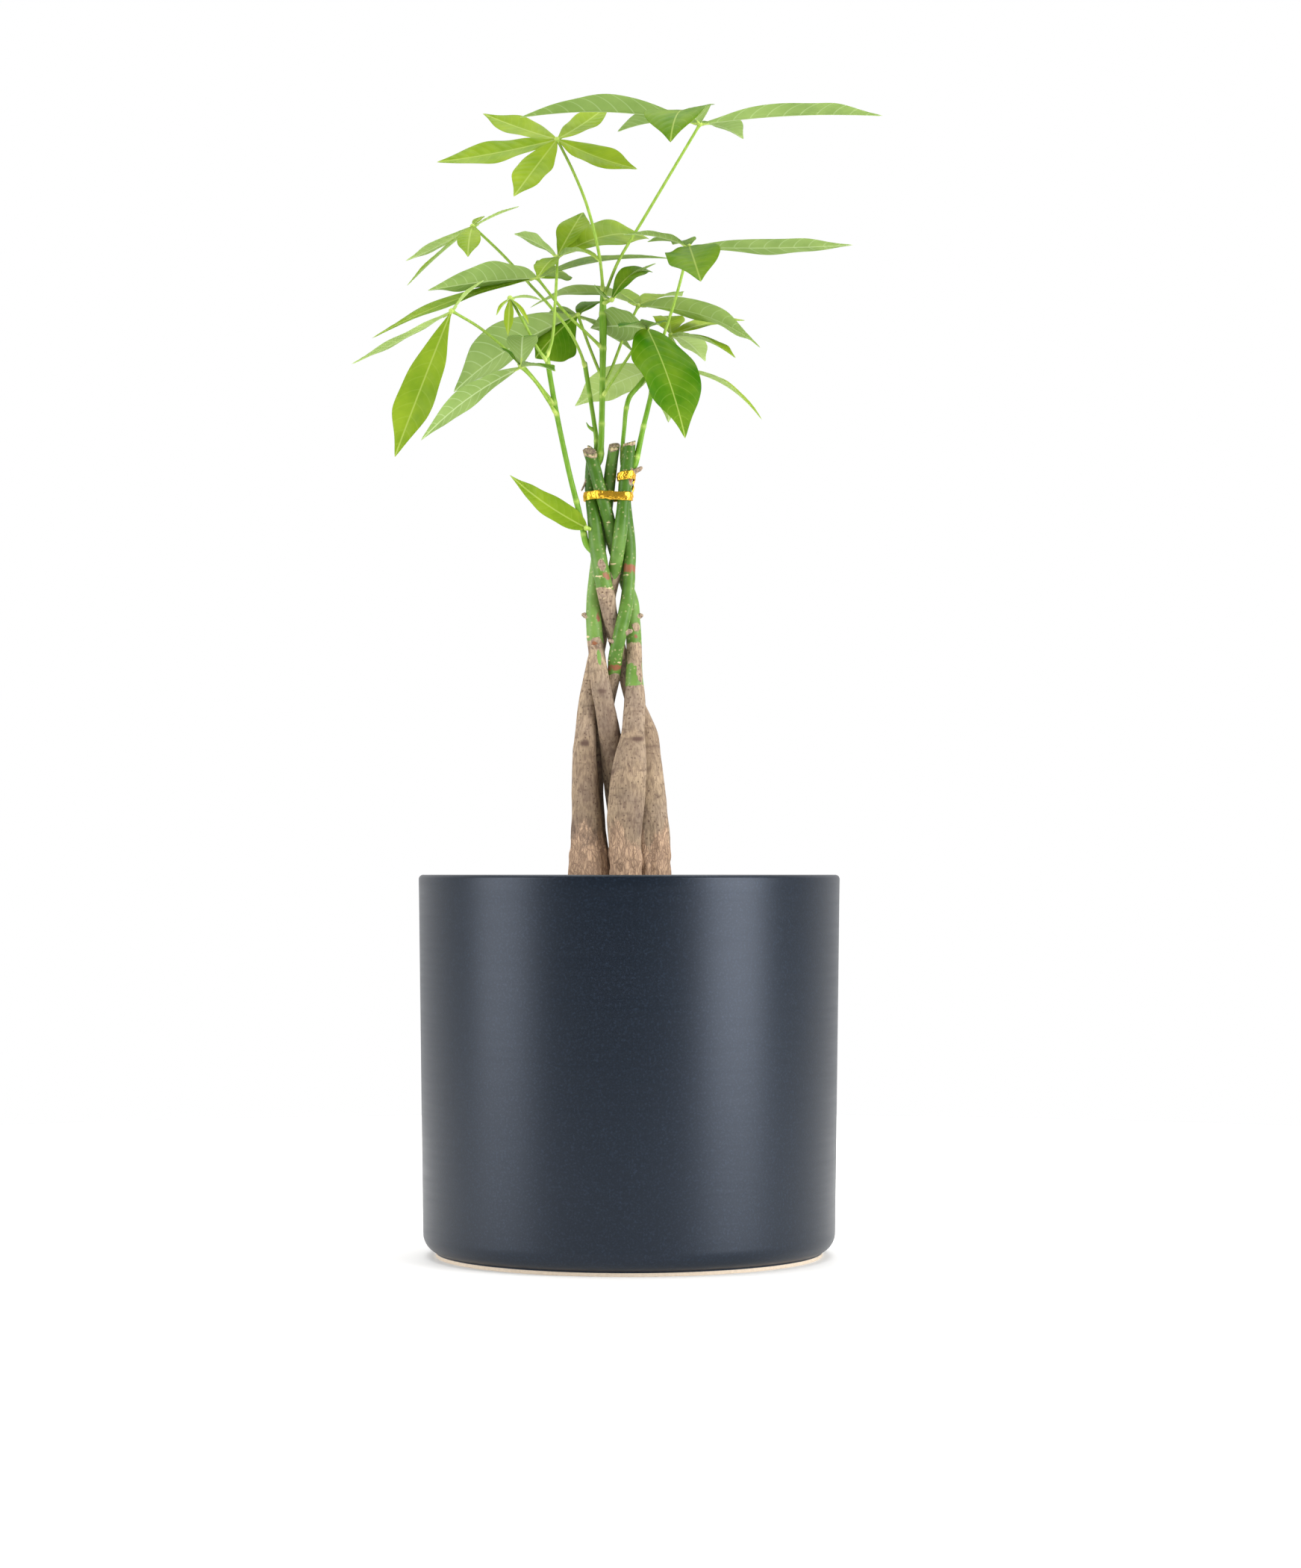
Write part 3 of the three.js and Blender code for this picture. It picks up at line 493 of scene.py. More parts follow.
def surface(name, sheets, materials, node, attributes=()):
    """One closed mesh from sheets: each cell of a grid becomes two triangles, split alike so that two thin
    faces never cross, and points less than 1 micrometre apart are merged, which closes every seam and pole.
    It stands for a node and takes its finish from a slot."""
    faces, start = [], 0
    for one in sheets:
        rows, columns = one["points"].shape[:2]
        index = start + np.arange(rows * columns).reshape(rows, columns)
        here, beside, across, below = index[:-1, :-1], index[:-1, 1:], index[1:, 1:], index[1:, :-1]
        halves = [(here, beside, across), (here, across, below)]
        faces.append(np.concatenate([np.stack(half, axis=-1).reshape(-1, 3) for half in halves]))
        start += rows * columns
    materials_of = np.concatenate([np.full(len(f), one["material"]) for f, one in zip(faces, sheets)])
    faces = np.concatenate(faces)
    points = np.concatenate([one["points"].reshape(-1, 3) for one in sheets]) * MM
    uv = np.concatenate([one["uv"].reshape(-1, 2) for one in sheets])

    mesh = bpy.data.meshes.new(name)
    mesh.from_pydata(points, [], faces)
    mesh.polygons.foreach_set("material_index", materials_of.astype(np.int32))
    mesh.uv_layers.new(name="UVMap").data.foreach_set("uv", uv[faces.ravel()].astype(np.float32).ravel())
    for attribute in attributes:
        values = np.concatenate([
            one["values"].get(attribute, np.zeros(one["points"].shape[:2])).ravel() for one in sheets])
        made = mesh.attributes.new(attribute, "FLOAT", "POINT")
        made.data.foreach_set("value", values.astype(np.float32))
    for finish in materials:
        mesh.materials.append(finish)

    work = bmesh.new()
    work.from_mesh(mesh)
    bmesh.ops.remove_doubles(work, verts=work.verts, dist=1e-6)
    bmesh.ops.dissolve_degenerate(work, edges=work.edges, dist=1e-7)
    bmesh.ops.recalc_face_normals(work, faces=work.faces)
    for face in work.faces:
        face.smooth = True
    work.to_mesh(mesh)
    work.free()

    piece = bpy.data.objects.new(name, mesh)
    bpy.context.scene.collection.objects.link(piece)
    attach(piece, BODY)
    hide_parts(node)
    return piece


def tube(path, radius, sides, along=None, **extras):
    """A round skin: at each point of the path a circle of its radius, level with two vectors square to the
    path, with a dome over each end. Along gives values for each point of the path."""
    tangent = unit(np.gradient(path, axis=0))
    spare = np.eye(3)[np.argmin(np.abs(tangent).max(axis=0))]
    side = unit(np.cross(tangent, spare))
    over = np.cross(side, tangent)
    radius = np.broadcast_to(radius, len(path))
    quarter = np.linspace(0, math.pi / 2, 5)[:-1]
    start = path[0] - np.outer(np.cos(quarter), tangent[0]) * radius[0]
    end = path[-1] + np.outer(np.cos(quarter[::-1]), tangent[-1]) * radius[-1]
    path = np.concatenate([start, path, end])
    radius = np.concatenate([radius[0] * np.sin(quarter), radius, radius[-1] * np.sin(quarter[::-1])])
    pad = ((len(quarter), len(quarter)), (0, 0))
    side, over = np.pad(side, pad, mode="edge"), np.pad(over, pad, mode="edge")
    angle = np.linspace(0, 2 * math.pi, sides + 1)[None, :, None]
    points = path[:, None] + radius[:, None, None] * (side[:, None] * np.cos(angle)
                                                      + over[:, None] * np.sin(angle))
    points[:, -1] = points[:, 0]
    for name, value in (along or {}).items():
        extras[name] = np.pad(value, len(quarter), mode="edge")[:, None]
    return sheet(points, **extras)


def ball(centre, radius, seed, rows=9, columns=13, roughness=0.12, squash=1.0, **extras):
    """A lumpy ball: a sphere whose radius is scaled by 1 + roughness times noise over its face."""
    polar = np.linspace(0, math.pi, rows)[:, None]
    around = np.linspace(0, 2 * math.pi, columns)[None, :]
    lumps = 1 + roughness * lattice_noise(polar * 2 + 0 * around, around * 4 / (2 * math.pi), seed, around=4)
    lumps[0], lumps[-1] = lumps[0].mean(), lumps[-1].mean()
    ring = np.sin(polar) * lumps
    height = np.cos(polar) * lumps * squash
    points = np.stack([ring * np.cos(around), ring * np.sin(around), height], axis=-1)
    points[:, -1] = points[:, 0]
    return sheet(np.array(centre) + radius * points, **extras)


def spun(profile, segments, uneven=None, **extras):
    """A profile of (radius, height) points turned about Z; uneven(x, y) may add to the height."""
    around = np.linspace(0, 2 * math.pi, segments + 1)
    radius, height = np.array(profile, float).T
    x = radius[:, None] * np.cos(around)
    y = radius[:, None] * np.sin(around)
    z = np.broadcast_to(height[:, None], x.shape).copy()
    if uneven is not None:
        z += uneven(x, y)
    points = np.stack([x, y, z], axis=-1)
    points[:, -1] = points[:, 0]
    uv = np.stack([np.broadcast_to(around / (2 * math.pi), x.shape), z / 1000], axis=-1)
    return sheet(points, uv, **extras)


def arc(centre_x, centre_z, radius, start, end, steps):
    """Points (x, z) on a round stretch of a profile, from one angle to another in degrees."""
    angle = np.radians(np.linspace(start, end, steps + 1))
    return np.stack([centre_x + radius * np.cos(angle), centre_z + radius * np.sin(angle)], axis=-1)


# Materials

MIX_A, MIX_B = 6, 7      # The two colour inputs of a Mix node


def node(tree, kind, inputs=None, stops=None, **settings):
    """Add one node. Settings are its own properties. Inputs fill its sockets by name or number, with a
    value, an output of another node, or a node, which stands for its first output in use. Stops are the
    colours of a ramp by their place."""
    made = tree.nodes.new("ShaderNode" + kind)
    for key, value in settings.items():
        setattr(made, key, value)
    for key, value in (inputs or {}).items():
        if isinstance(value, bpy.types.Node):
            value = next(output for output in value.outputs if output.enabled)
        if isinstance(value, bpy.types.NodeSocket):
            tree.links.new(value, made.inputs[key])
        else:
            made.inputs[key].default_value = value
    if stops:
        elements = made.color_ramp.elements
        while len(elements) < len(stops):
            elements.new(1.0)
        for element, (place, colour) in zip(elements, stops):
            element.position = place
            element.color = colour
    return made


def material(name, surface_of, *values, **named):
    """A material whose surface is the shader that a function builds in its node tree, from the Object
    coordinates of a place and the values given."""
    made = bpy.data.materials.new(name)
    made.use_nodes = True
    tree = made.node_tree
    tree.nodes.clear()
    place = node(tree, "TexCoord").outputs["Object"]
    node(tree, "OutputMaterial", {"Surface": surface_of(tree, place, *values, **named)})
    return made


def darker(colour, share):
    """A share of a colour, with an alpha of 1."""
    return (*(share * c for c in colour[:3]), 1.0)


def glazed_stoneware(tree, place, look):
    """Stoneware under a satin glaze, dipped and fired: nearly even charcoal with fine paler specks, faint
    level rings from the throwing, and a soft sheen whose roughness wanders a little."""
    speck = node(tree, "TexNoise", {"Vector": place, "Scale": 1 / (0.9 * MM), "Detail": 3.0})
    cloud = node(tree, "TexNoise", {"Vector": place, "Scale": 1 / (40 * MM), "Detail": 3.0})
    level = node(tree, "Mapping", {"Vector": place, "Scale": (0.06, 0.06, 1.0)})
    rings = node(tree, "TexNoise", {"Vector": level, "Scale": 1 / (2.4 * MM), "Detail": 3.0})
    share = node(tree, "MapRange", {"Value": speck, "From Min": 0.5, "From Max": 0.78})
    ground = node(tree, "Mix", {0: share, MIX_A: look.glaze, MIX_B: look.glaze_pale}, data_type="RGBA")
    shade = node(tree, "MapRange", {"Value": cloud, "To Min": 0.88, "To Max": 1.12})
    colour = node(tree, "HueSaturation", {"Color": ground, "Value": shade})
    gloss = node(tree, "MapRange", {"Value": rings, "To Min": 0.33, "To Max": 0.41})
    fine = node(tree, "Bump", {"Height": speck, "Strength": 0.25, "Distance": 0.05 * MM})
    relief = node(tree, "Bump", {"Height": rings, "Strength": 0.3, "Distance": 0.12 * MM, "Normal": fine})
    return node(tree, "BsdfPrincipled", {
        "Base Color": colour, "Roughness": gloss, "IOR": 1.5, "Specular IOR Level": 0.42,
        "Specular Tint": look.sheen, "Normal": relief})


def bare_clay(tree, place, look):
    """Fired clay left bare at the foot: sandy and quite matte."""
    grit = node(tree, "TexNoise", {"Vector": place, "Scale": 1 / (1.2 * MM), "Detail": 4.0})
    shade = node(tree, "MapRange", {"Value": grit, "To Min": 0.75, "To Max": 1.2})
    colour = node(tree, "HueSaturation", {"Color": look.clay, "Value": shade})
    relief = node(tree, "Bump", {"Height": grit, "Strength": 0.4, "Distance": 0.1 * MM})
    return node(tree, "BsdfPrincipled", {"Base Color": colour, "Roughness": 0.85, "Normal": relief})


def crumbs(tree, place, hollow_shade, ground, fleck, grain):
    """Peat and composted bark, or one of its grains: matte crumbs whose hollows are darkened as painted
    shade.
    """
    lumps = node(tree, "TexNoise", {"Vector": place, "Scale": 1 / grain, "Detail": 6.0, "Roughness": 0.7})
    # The darkest stop, where the lumps dip, is painted shade in the hollows; the pale stop is real flecks.
    colour = node(tree, "ValToRGB", {"Fac": lumps}, stops=[(0.3, hollow_shade), (0.52, ground), (0.75, fleck)])
    relief = node(tree, "Bump", {"Height": lumps, "Strength": 0.8, "Distance": 0.5 * MM})
    return node(tree, "BsdfPrincipled", {"Base Color": colour, "Roughness": 0.92, "Normal": relief})


def dried_wood(tree, place, look):
    """The cut face of a stem and its dried stubs: shrunken pith and ragged bark, pinkish brown and matte."""
    grain = node(tree, "TexNoise", {
        "Vector": place, "Scale": 1 / (1.0 * MM), "Detail": 5.0, "Roughness": 0.7})
    colour = node(tree, "ValToRGB", {"Fac": grain}, stops=[
        (0.32, darker(look.cut, 0.35)), (0.5, tuple(look.cut)), (0.72, tuple(look.ring))])
    relief = node(tree, "Bump", {"Height": grain, "Strength": 0.8, "Distance": 0.3 * MM})
    return node(tree, "BsdfPrincipled", {"Base Color": colour, "Roughness": 0.85, "Normal": relief})


def gold_foil(tree, place, look):
    """Gold-lacquered aluminium foil over a wire, crumpled by hand: bright creases beside dark ones."""
    crease = node(tree, "TexVoronoi", {"Vector": place, "Scale": 1 / (1.6 * MM)}, feature="F2")
    smear = node(tree, "TexNoise", {"Vector": place, "Scale": 1 / (3 * MM), "Detail": 3.0})
    gloss = node(tree, "MapRange", {"Value": smear, "To Min": 0.14, "To Max": 0.34})
    relief = node(tree, "Bump", {"Height": crease, "Strength": 0.6, "Distance": 0.4 * MM})
    return node(tree, "BsdfPrincipled", {
        "Base Color": look.foil, "Metallic": 0.8, "Roughness": gloss, "Normal": relief})


def green_skin(tree, place, green, pale, streak):
    """Smooth waxy skin of a shoot or leaf stalk: yellow-green with faint paler streaks, paler where the
    attribute pale says that a joint swells."""
    upright = node(tree, "Mapping", {"Vector": place, "Scale": (1.0, 1.0, 0.2)})
    streaks = node(tree, "TexNoise", {"Vector": upright, "Scale": 1 / streak, "Detail": 4.0})
    swollen = node(tree, "Attribute", attribute_name="pale").outputs["Fac"]
    share = node(tree, "MapRange", {"Value": streaks, "From Min": 0.35, "From Max": 0.8, "To Max": 0.35})
    share = node(tree, "Math", {0: share, 1: swollen}, operation="ADD", use_clamp=True)
    colour = node(tree, "Mix", {0: share, MIX_A: green, MIX_B: pale}, data_type="RGBA")
    relief = node(tree, "Bump", {"Height": streaks, "Strength": 0.3, "Distance": 0.15 * MM})
    return node(tree, "BsdfPrincipled", {
        "Base Color": colour, "Roughness": 0.45, "Specular IOR Level": 0.25, "Normal": relief})


def leaf_blade(tree, place, deep, lime, vein, roughness, gloss, side_share, vein_share):
    """One face of a living leaf: thin enough to glow, deep green to lime by the attribute tone, with a pale
    midrib and side veins that the blade's own UV places (the count of side veins, and tenths of a metre from
    the rib)."""
    part = node(tree, "SeparateXYZ", {0: node(tree, "UVMap", uv_map="UVMap")})
    across = node(tree, "Math", {0: part.outputs[1]}, operation="ABSOLUTE")
    wave = node(tree, "Math", {0: part.outputs[0], 1: 0.5}, operation="PINGPONG")
    side_vein = node(tree, "MapRange", {
        "Value": wave, "From Min": 0.07, "From Max": 0.01, "To Max": side_share})
    midrib = node(tree, "MapRange", {"Value": across, "From Min": 0.005, "From Max": 0.002})
    veins = node(tree, "Math", {0: side_vein, 1: midrib}, operation="MAXIMUM")
    mask = node(tree, "Math", {0: veins, 1: vein_share}, operation="MULTIPLY")
    patch = node(tree, "TexNoise", {"Vector": place, "Scale": 1 / (14 * MM), "Detail": 3.0})
    fine = node(tree, "TexNoise", {"Vector": place, "Scale": 1 / (1.0 * MM), "Detail": 3.0})
    # The tone carries painted light and shade, leaf by leaf, as well as the leaf's age.
    tone = node(tree, "Attribute", attribute_name="tone").outputs["Fac"]
    drift = node(tree, "MapRange", {
        "Value": patch, "From Min": 0.3, "From Max": 0.7, "To Min": -0.16, "To Max": 0.16})
    share = node(tree, "Math", {0: tone, 1: drift}, operation="ADD", use_clamp=True)
    ground = node(tree, "Mix", {0: share, MIX_A: deep, MIX_B: lime}, data_type="RGBA")
    shade = node(tree, "MapRange", {"Value": fine, "To Min": 0.97, "To Max": 1.03})
    ground = node(tree, "HueSaturation", {"Color": ground, "Value": shade})
    colour = node(tree, "Mix", {0: mask, MIX_A: ground, MIX_B: vein}, data_type="RGBA")
    face = node(tree, "BsdfPrincipled", {
        "Base Color": colour, "Roughness": roughness, "Specular IOR Level": gloss})
    glow = node(tree, "BsdfTranslucent", {"Color": colour})
    return node(tree, "MixShader", {0: 0.5, 1: face, 2: glow})


def stem_amounts(tree, grains):
    """How much of bark, fibre, scar and ring a place has: each attribute, frayed at its edge by a grain
    and softened over a share."""
    amounts = {}
    for name, (grain, soft) in grains.items():
        amount = node(tree, "Attribute", attribute_name=name).outputs["Fac"]
        rough = node(tree, "Math", {0: amount, 1: grain}, operation="ADD")
        amounts[name] = node(tree, "MapRange", {"Value": rough, "From Min": 1 - soft, "From Max": 1 + soft})
    return amounts


def green_stem(tree, mottle, dot, look):
    """Green skin in streaks of a deeper green, which the attribute dark adds to, under fine pale specks."""
    darkness = node(tree, "Attribute", attribute_name="dark").outputs["Fac"]
    streak = node(tree, "MapRange", {"Value": mottle, "From Min": 0.35, "From Max": 0.7, "To Max": 0.55})
    deep = node(tree, "Math", {0: streak, 1: darkness}, operation="ADD", use_clamp=True)
    green = node(tree, "Mix", {0: deep, MIX_A: look.green, MIX_B: look.green_dark}, data_type="RGBA")
    pale = node(tree, "Math", {0: dot, 1: 0.35}, operation="MULTIPLY")
    return node(tree, "Mix", {0: pale, MIX_A: green, MIX_B: look.ring}, data_type="RGBA")


def tan_bark(tree, place, mottle, dot, crack, look):
    """Tan bark with grey clouds, upright cracks, gashes across, dark specks, and dark knots and wide clouds
    of painted shade where the attribute stain says."""
    level = node(tree, "Mapping", {"Vector": place, "Scale": (0.45, 0.45, 2.0)})
    cross = node(tree, "TexNoise", {"Vector": level, "Scale": 1 / (3.4 * MM), "Detail": 4.0})
    gash = node(tree, "MapRange", {"Value": cross, "From Min": 0.58, "From Max": 0.73, "To Max": 0.55})
    cloud = node(tree, "TexNoise", {"Vector": place, "Scale": 1 / (16 * MM), "Detail": 5.0})
    ashen = node(tree, "MapRange", {"Value": cloud, "From Min": 0.42, "From Max": 0.66, "To Max": 0.6})
    bark = look.bark
    for share, colour in ((ashen, look.ash), (crack, look.bark_dark), (gash, look.bark_dark)):
        bark = node(tree, "Mix", {0: share, MIX_A: bark, MIX_B: colour}, data_type="RGBA")
    shade = node(tree, "MapRange", {"Value": mottle, "To Min": 0.65, "To Max": 1.35})
    bark = node(tree, "HueSaturation", {"Color": bark, "Value": shade})
    # Dark knots, and wide faint clouds of painted shade, pull the bark towards the bark shade colour.
    knot_and_shade_amount = node(tree, "Attribute", attribute_name="stain").outputs["Fac"]
    speck = node(tree, "Math", {0: dot, 1: 0.8}, operation="MULTIPLY")
    speck = node(tree, "Math", {0: speck, 1: knot_and_shade_amount}, operation="MAXIMUM")
    return node(tree, "Mix", {0: speck, MIX_A: bark, MIX_B: look.bark_dark}, data_type="RGBA")


def peeling_strands(tree, place, mottle, crack):
    """How deep the splits between strands of peeling bark are: the edges of cells drawn out upright and bent
    by the mottling, and the cracks."""
    drawn = node(tree, "Mapping", {"Vector": place, "Scale": (1.0, 1.0, 0.2)})
    wavy = node(tree, "VectorMath", {0: mottle.outputs["Color"], 1: (6 * MM, 6 * MM, 2 * MM), 2: drawn},
                operation="MULTIPLY_ADD")
    strands = node(tree, "TexVoronoi", {"Vector": wavy, "Scale": 1 / (1.7 * MM)}, feature="DISTANCE_TO_EDGE")
    split = node(tree, "MapRange", {"Value": strands, "From Min": 0.16, "From Max": 0.02, "To Max": 0.65})
    return node(tree, "Math", {0: split, 1: crack}, operation="MAXIMUM")


def living_bark(tree, place, look):
    """Skin of a young woody stem: smooth green above with fine pale specks, thin tan bark with dark dots
    and upright cracks below, fibrous and orange-brown near the soil, with corky scars and cream leaf-scar
    rings."""
    upright = node(tree, "Mapping", {"Vector": place, "Scale": (1.0, 1.0, 0.28)})
    fibres = node(tree, "TexNoise", {
        "Vector": upright, "Scale": 1 / (1.1 * MM), "Detail": 5.0, "Roughness": 0.65})
    mottle = node(tree, "TexNoise", {"Vector": place, "Scale": 1 / (7 * MM), "Detail": 4.0})
    edge = node(tree, "TexNoise", {"Vector": place, "Scale": 1 / (2.0 * MM), "Detail": 4.0})
    dots = node(tree, "TexVoronoi", {"Vector": place, "Scale": 1 / (2.0 * MM), "Randomness": 1.0})
    dot = node(tree, "MapRange", {"Value": dots, "From Min": 0.3, "From Max": 0.14})
    crack = node(tree, "MapRange", {"Value": fibres, "From Min": 0.58, "From Max": 0.38, "To Max": 0.6})
    amounts = stem_amounts(tree, {
        "bark": (edge, 0.07), "fibre": (fibres, 0.14), "scar": (edge, 0.07), "ring": (edge, 0.07)})

    split = peeling_strands(tree, place, mottle, crack)
    frayed = node(tree, "Mix", {0: split, MIX_A: look.fibre, MIX_B: look.bark_dark}, data_type="RGBA")
    bark = node(tree, "Mix", {0: amounts["fibre"], MIX_A: tan_bark(tree, place, mottle, dot, crack, look),
                              MIX_B: frayed}, data_type="RGBA")
    skin = green_stem(tree, mottle, dot, look)
    for name, colour in (("bark", bark), ("scar", look.scar), ("ring", look.ring)):
        skin = node(tree, "Mix", {0: amounts[name], MIX_A: skin, MIX_B: colour}, data_type="RGBA")

    gloss = node(tree, "MapRange", {"Value": amounts["bark"], "To Min": 0.42, "To Max": 0.86})
    torn = node(tree, "Math", {0: split, 1: amounts["fibre"]}, operation="MULTIPLY")
    height = node(tree, "Math", {0: fibres, 1: amounts["bark"]}, operation="MULTIPLY")
    height = node(tree, "Math", {0: height, 1: torn}, operation="SUBTRACT")
    relief = node(tree, "Bump", {"Height": height, "Strength": 0.7, "Distance": 0.35 * MM})
    return node(tree, "BsdfPrincipled", {
        "Base Color": skin, "Roughness": gloss, "Specular IOR Level": 0.25, "Normal": relief})


def matt_paint(tree, place, colour):
    """Plain matt paint of the stage's floor."""
    return node(tree, "BsdfPrincipled", {"Base Color": colour, "Roughness": 0.6})


# Leaves: slant of the side veins, the power that says where a leaflet is widest, and how full it is;
# ripples of the margin as a share of the width, the height of the midrib below, and the mesh and sizes of
# stalk, hub and petiole
VEIN_SLANT = 0.75
WIDEST_POWER = 1.08
FULLNESS = 0.85
RIPPLE = 0.035
KEEL = 0.42
BLADE_COLUMNS = 17
STALK_SIDES = 12
HUB_RADIUS = 1.25
PETIOLE_SIDES = 8
PETIOLE_RADII = (0.62, 0.3)


def leaflet_axes(leaflet, lean):
    """Unit vectors along a leaflet's rib, to its side and out of its upper face, which is rolled about the
    rib from the upward side of the leaning leaf."""
    heading, rise, _, _, roll = leaflet[:5]
    along = direction(heading, rise)
    leaf_up = direction(lean[0], 90 - lean[1])
    face = unit(leaf_up - along * (leaf_up @ along))
    turn = math.radians(roll)
    face = face * math.cos(turn) + np.cross(along, face) * math.sin(turn)
    return along, np.cross(along, face), face


def leaflet_sheets(hub, lean, leaflet, tone, look, rng):
    """Two faces of one leaflet. With t along the rib and s from -1 to 1 across it:
    rib = hub + along L t + face 4 L bow t (1 - t);
    half width = w / 2 sin(pi t^p)^0.85, drawn in by a third near the tip, over a petiole of 0.4 (1 - t) mm,
    where p is 1.08 unless the leaflet gives its own;
    height over the rib = |x| sin(fold), plus waves that grow towards the margin, plus the quilting
    q (1 - cos(2 pi c)) / 2 with c = (t - 0.75 (0.6 + 0.6 s^2) |x| / L) times the count of side veins,
    less a groove of 0.12 mm along the rib.
    The faces part by the thickness times 1 - s^8 and meet at the margin and the ends; the midrib stands out
    of the underside."""
    length, width, _, bow, fold = leaflet[2:7]
    power = leaflet[7] if len(leaflet) > 7 else WIDEST_POWER
    along, side, face = leaflet_axes(leaflet, lean)

    rows = int(np.clip(length / 0.8, 20, 100))
    t = np.linspace(0.5 / length, 1, rows)[:, None]
    s = np.sin(np.linspace(-1, 1, BLADE_COLUMNS) * math.pi / 2)[None, :]
    spread = np.abs(np.sin(math.pi * t ** power)) ** FULLNESS
    spread = spread * (1 - 0.35 * ease(0.7, 0.97, t))
    half = np.sqrt((width / 2 * spread) ** 2 + (0.4 * (1 - t)) ** 2)
    phase, waves = rng.uniform(0, 2 * math.pi, 2), rng.uniform(1.6, 2.6, 2)
    hand = np.where(s < 0, 0, 1)
    ripple = np.sin(2 * math.pi * waves[hand] * t + phase[hand])
    margin = 1 + 0.03 * np.sin(2 * math.pi * 3.1 * t + phase[hand])
    x = half * margin * s

    soft = 0.1 * half
    height = (np.sqrt(x ** 2 + soft ** 2) - soft) * math.sin(math.radians(fold))
    height = height + RIPPLE * width * spread * s ** 2 * ripple
    veins = (t - VEIN_SLANT * (0.6 + 0.6 * s ** 2) * np.abs(x) / length) * look.veins
    calm = (1 - s ** 6) * ease(0.3, 1.6, np.abs(x)) * ease(0, 0.12, t) * ease(0, 0.15, 1 - t)
    height = height + look.quilting / MM * calm * (1 - np.cos(2 * math.pi * veins)) / 2
    height = height - 0.12 * bump(x, 0.6) * ease(0, 0.1, t) * ease(0, 0.2, 1 - t)
    sway = length * 0.02 * np.sin(math.pi * t) * rng.uniform(-1, 1)

    rib = (np.array(hub) + along * (length * t)[..., None] + side * sway[..., None]
           + face * (length * bow * 4 * t * (1 - t))[..., None])
    lateral = side * (x * math.cos(math.radians(fold)))[..., None]
    closed = (1 - s ** 8) * ease(0, 0.03, t - t[0]) * ease(0, 0.03, 1 - t)
    thick = look.thickness / MM / 2 * closed
    keel = KEEL * bump(x, 0.55) * closed * (1 - 0.75 * t)
    uv = np.stack([veins, x / 100], axis=-1)
    upper = rib + lateral + face * (height + thick)[..., None]
    lower = rib + lateral + face * (height - thick - keel)[..., None]
    shade = float(np.clip(tone + rng.uniform(-0.08, 0.08), 0, 1))
    return [sheet(upper, uv, 0, tone=shade), sheet(lower, uv, 1, tone=min(1.0, shade + 0.25))]


def leaf_sheets(leaf, look, rng):
    """A whole leaf: its stalk, swollen at both ends, a small knob at the hub, petioles and leaflets."""
    hub = np.array(leaf["hub"], float)
    radius = look.stalk / MM
    path, _ = line_through([*leaf["stalk"], leaf["hub"]], np.full(len(leaf["stalk"]) + 1, radius), 1.0)
    run = np.linspace(0, 1, len(path)) * np.linalg.norm(np.diff(path, axis=0), axis=1).sum()
    swell = 0.35 * bump(run - 1.2, 2.4) + 0.3 * bump(run[-1] - run, 1.8)
    sheets = [
        tube(path, radius * (1 - 0.12 * run / run[-1]) + swell, STALK_SIDES, material=2,
             along={"pale": 0.6 * bump(run - 1.2, 2.0)}),
        ball(hub, HUB_RADIUS, 5, roughness=0.08, material=2, pale=0.35),
    ]
    for leaflet in leaf["leaflets"]:
        faces = leaflet_sheets(hub, leaf.get("lean", NO_LEAN), leaflet, leaf["tone"], look, rng)
        rib = faces[1]["points"][:, BLADE_COLUMNS // 2]
        reach = min(4.0, 0.12 * leaflet[2])
        steps = max(3, int(reach / leaflet[2] * len(rib)) + 1)
        petiole = np.concatenate([hub[None], rib[:steps]])
        radii = np.linspace(*PETIOLE_RADII, len(petiole))
        sheets.append(tube(petiole, radii, PETIOLE_SIDES, material=2, pale=0.3))
        sheets += faces
    return sheets


# Stems: attributes of the skin, the heights between which the fibrous bark ends and the green deepens,
# and how a dried stub tapers
SKIN_MARKS = ("bark", "fibre", "scar", "ring", "dark", "stain")
FIBRE_FADE = (179, 197)
DEEP_GREEN_RISE = (313, 345)
STUB_TAPER = np.array([1.35, 1.1, 0.95, 0.85, 0.85, 0.8, 0.65])


def stem_line(name):
    """Heights, centres and radii of a stem's rings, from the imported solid: its points grouped by height,
    with each group's mean and its points' mean distance from it."""
    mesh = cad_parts[name].data
    points = np.empty(3 * len(mesh.vertices), np.float32)
    mesh.vertices.foreach_get("co", points)
    points = np.unique(np.round(points.reshape(-1, 3) / MM, 2), axis=0)
    heights, group = np.unique(np.round(points[:, 2], 1), return_inverse=True)
    count = np.bincount(group)
    centre = np.stack([np.bincount(group, points[:, k]) / count for k in (0, 1)], axis=-1)
    away = np.linalg.norm(points[:, :2] - centre[group], axis=1)
    return heights, np.column_stack([centre, np.bincount(group, away) / count])


STEM_LINES = {name: stem_line(name) for name in STEM_NODES}


def stem_at(name, heights):
    """Centre (x, y) and radius of a stem at each of the heights."""
    return smooth(*STEM_LINES[name], np.clip(heights, *STEM_LINES[name][0][[0, -1]]))


def stem_circles(names, height):
    """Centre (x, y) and radius of each of the stems at one height."""
    return np.array([stem_at(name, np.array([float(height)]))[0] for name in names])


def stem_noise(z, angle, tall, cells, seed):
    """Noise over a stem, in cells of a height in mm and of a whole number round the stem."""
    return lattice_noise(z / tall, angle / (2 * math.pi) * cells, seed, around=cells)


def soft_patch(z, angle, height, side, tall, wide):
    """1 at a height and a side of the stem, fading over a half height in mm and a half width in degrees."""
    offset = (np.degrees(angle) - side + 180) % 360 - 180
    return bump(z - height, tall) * bump(offset, wide)


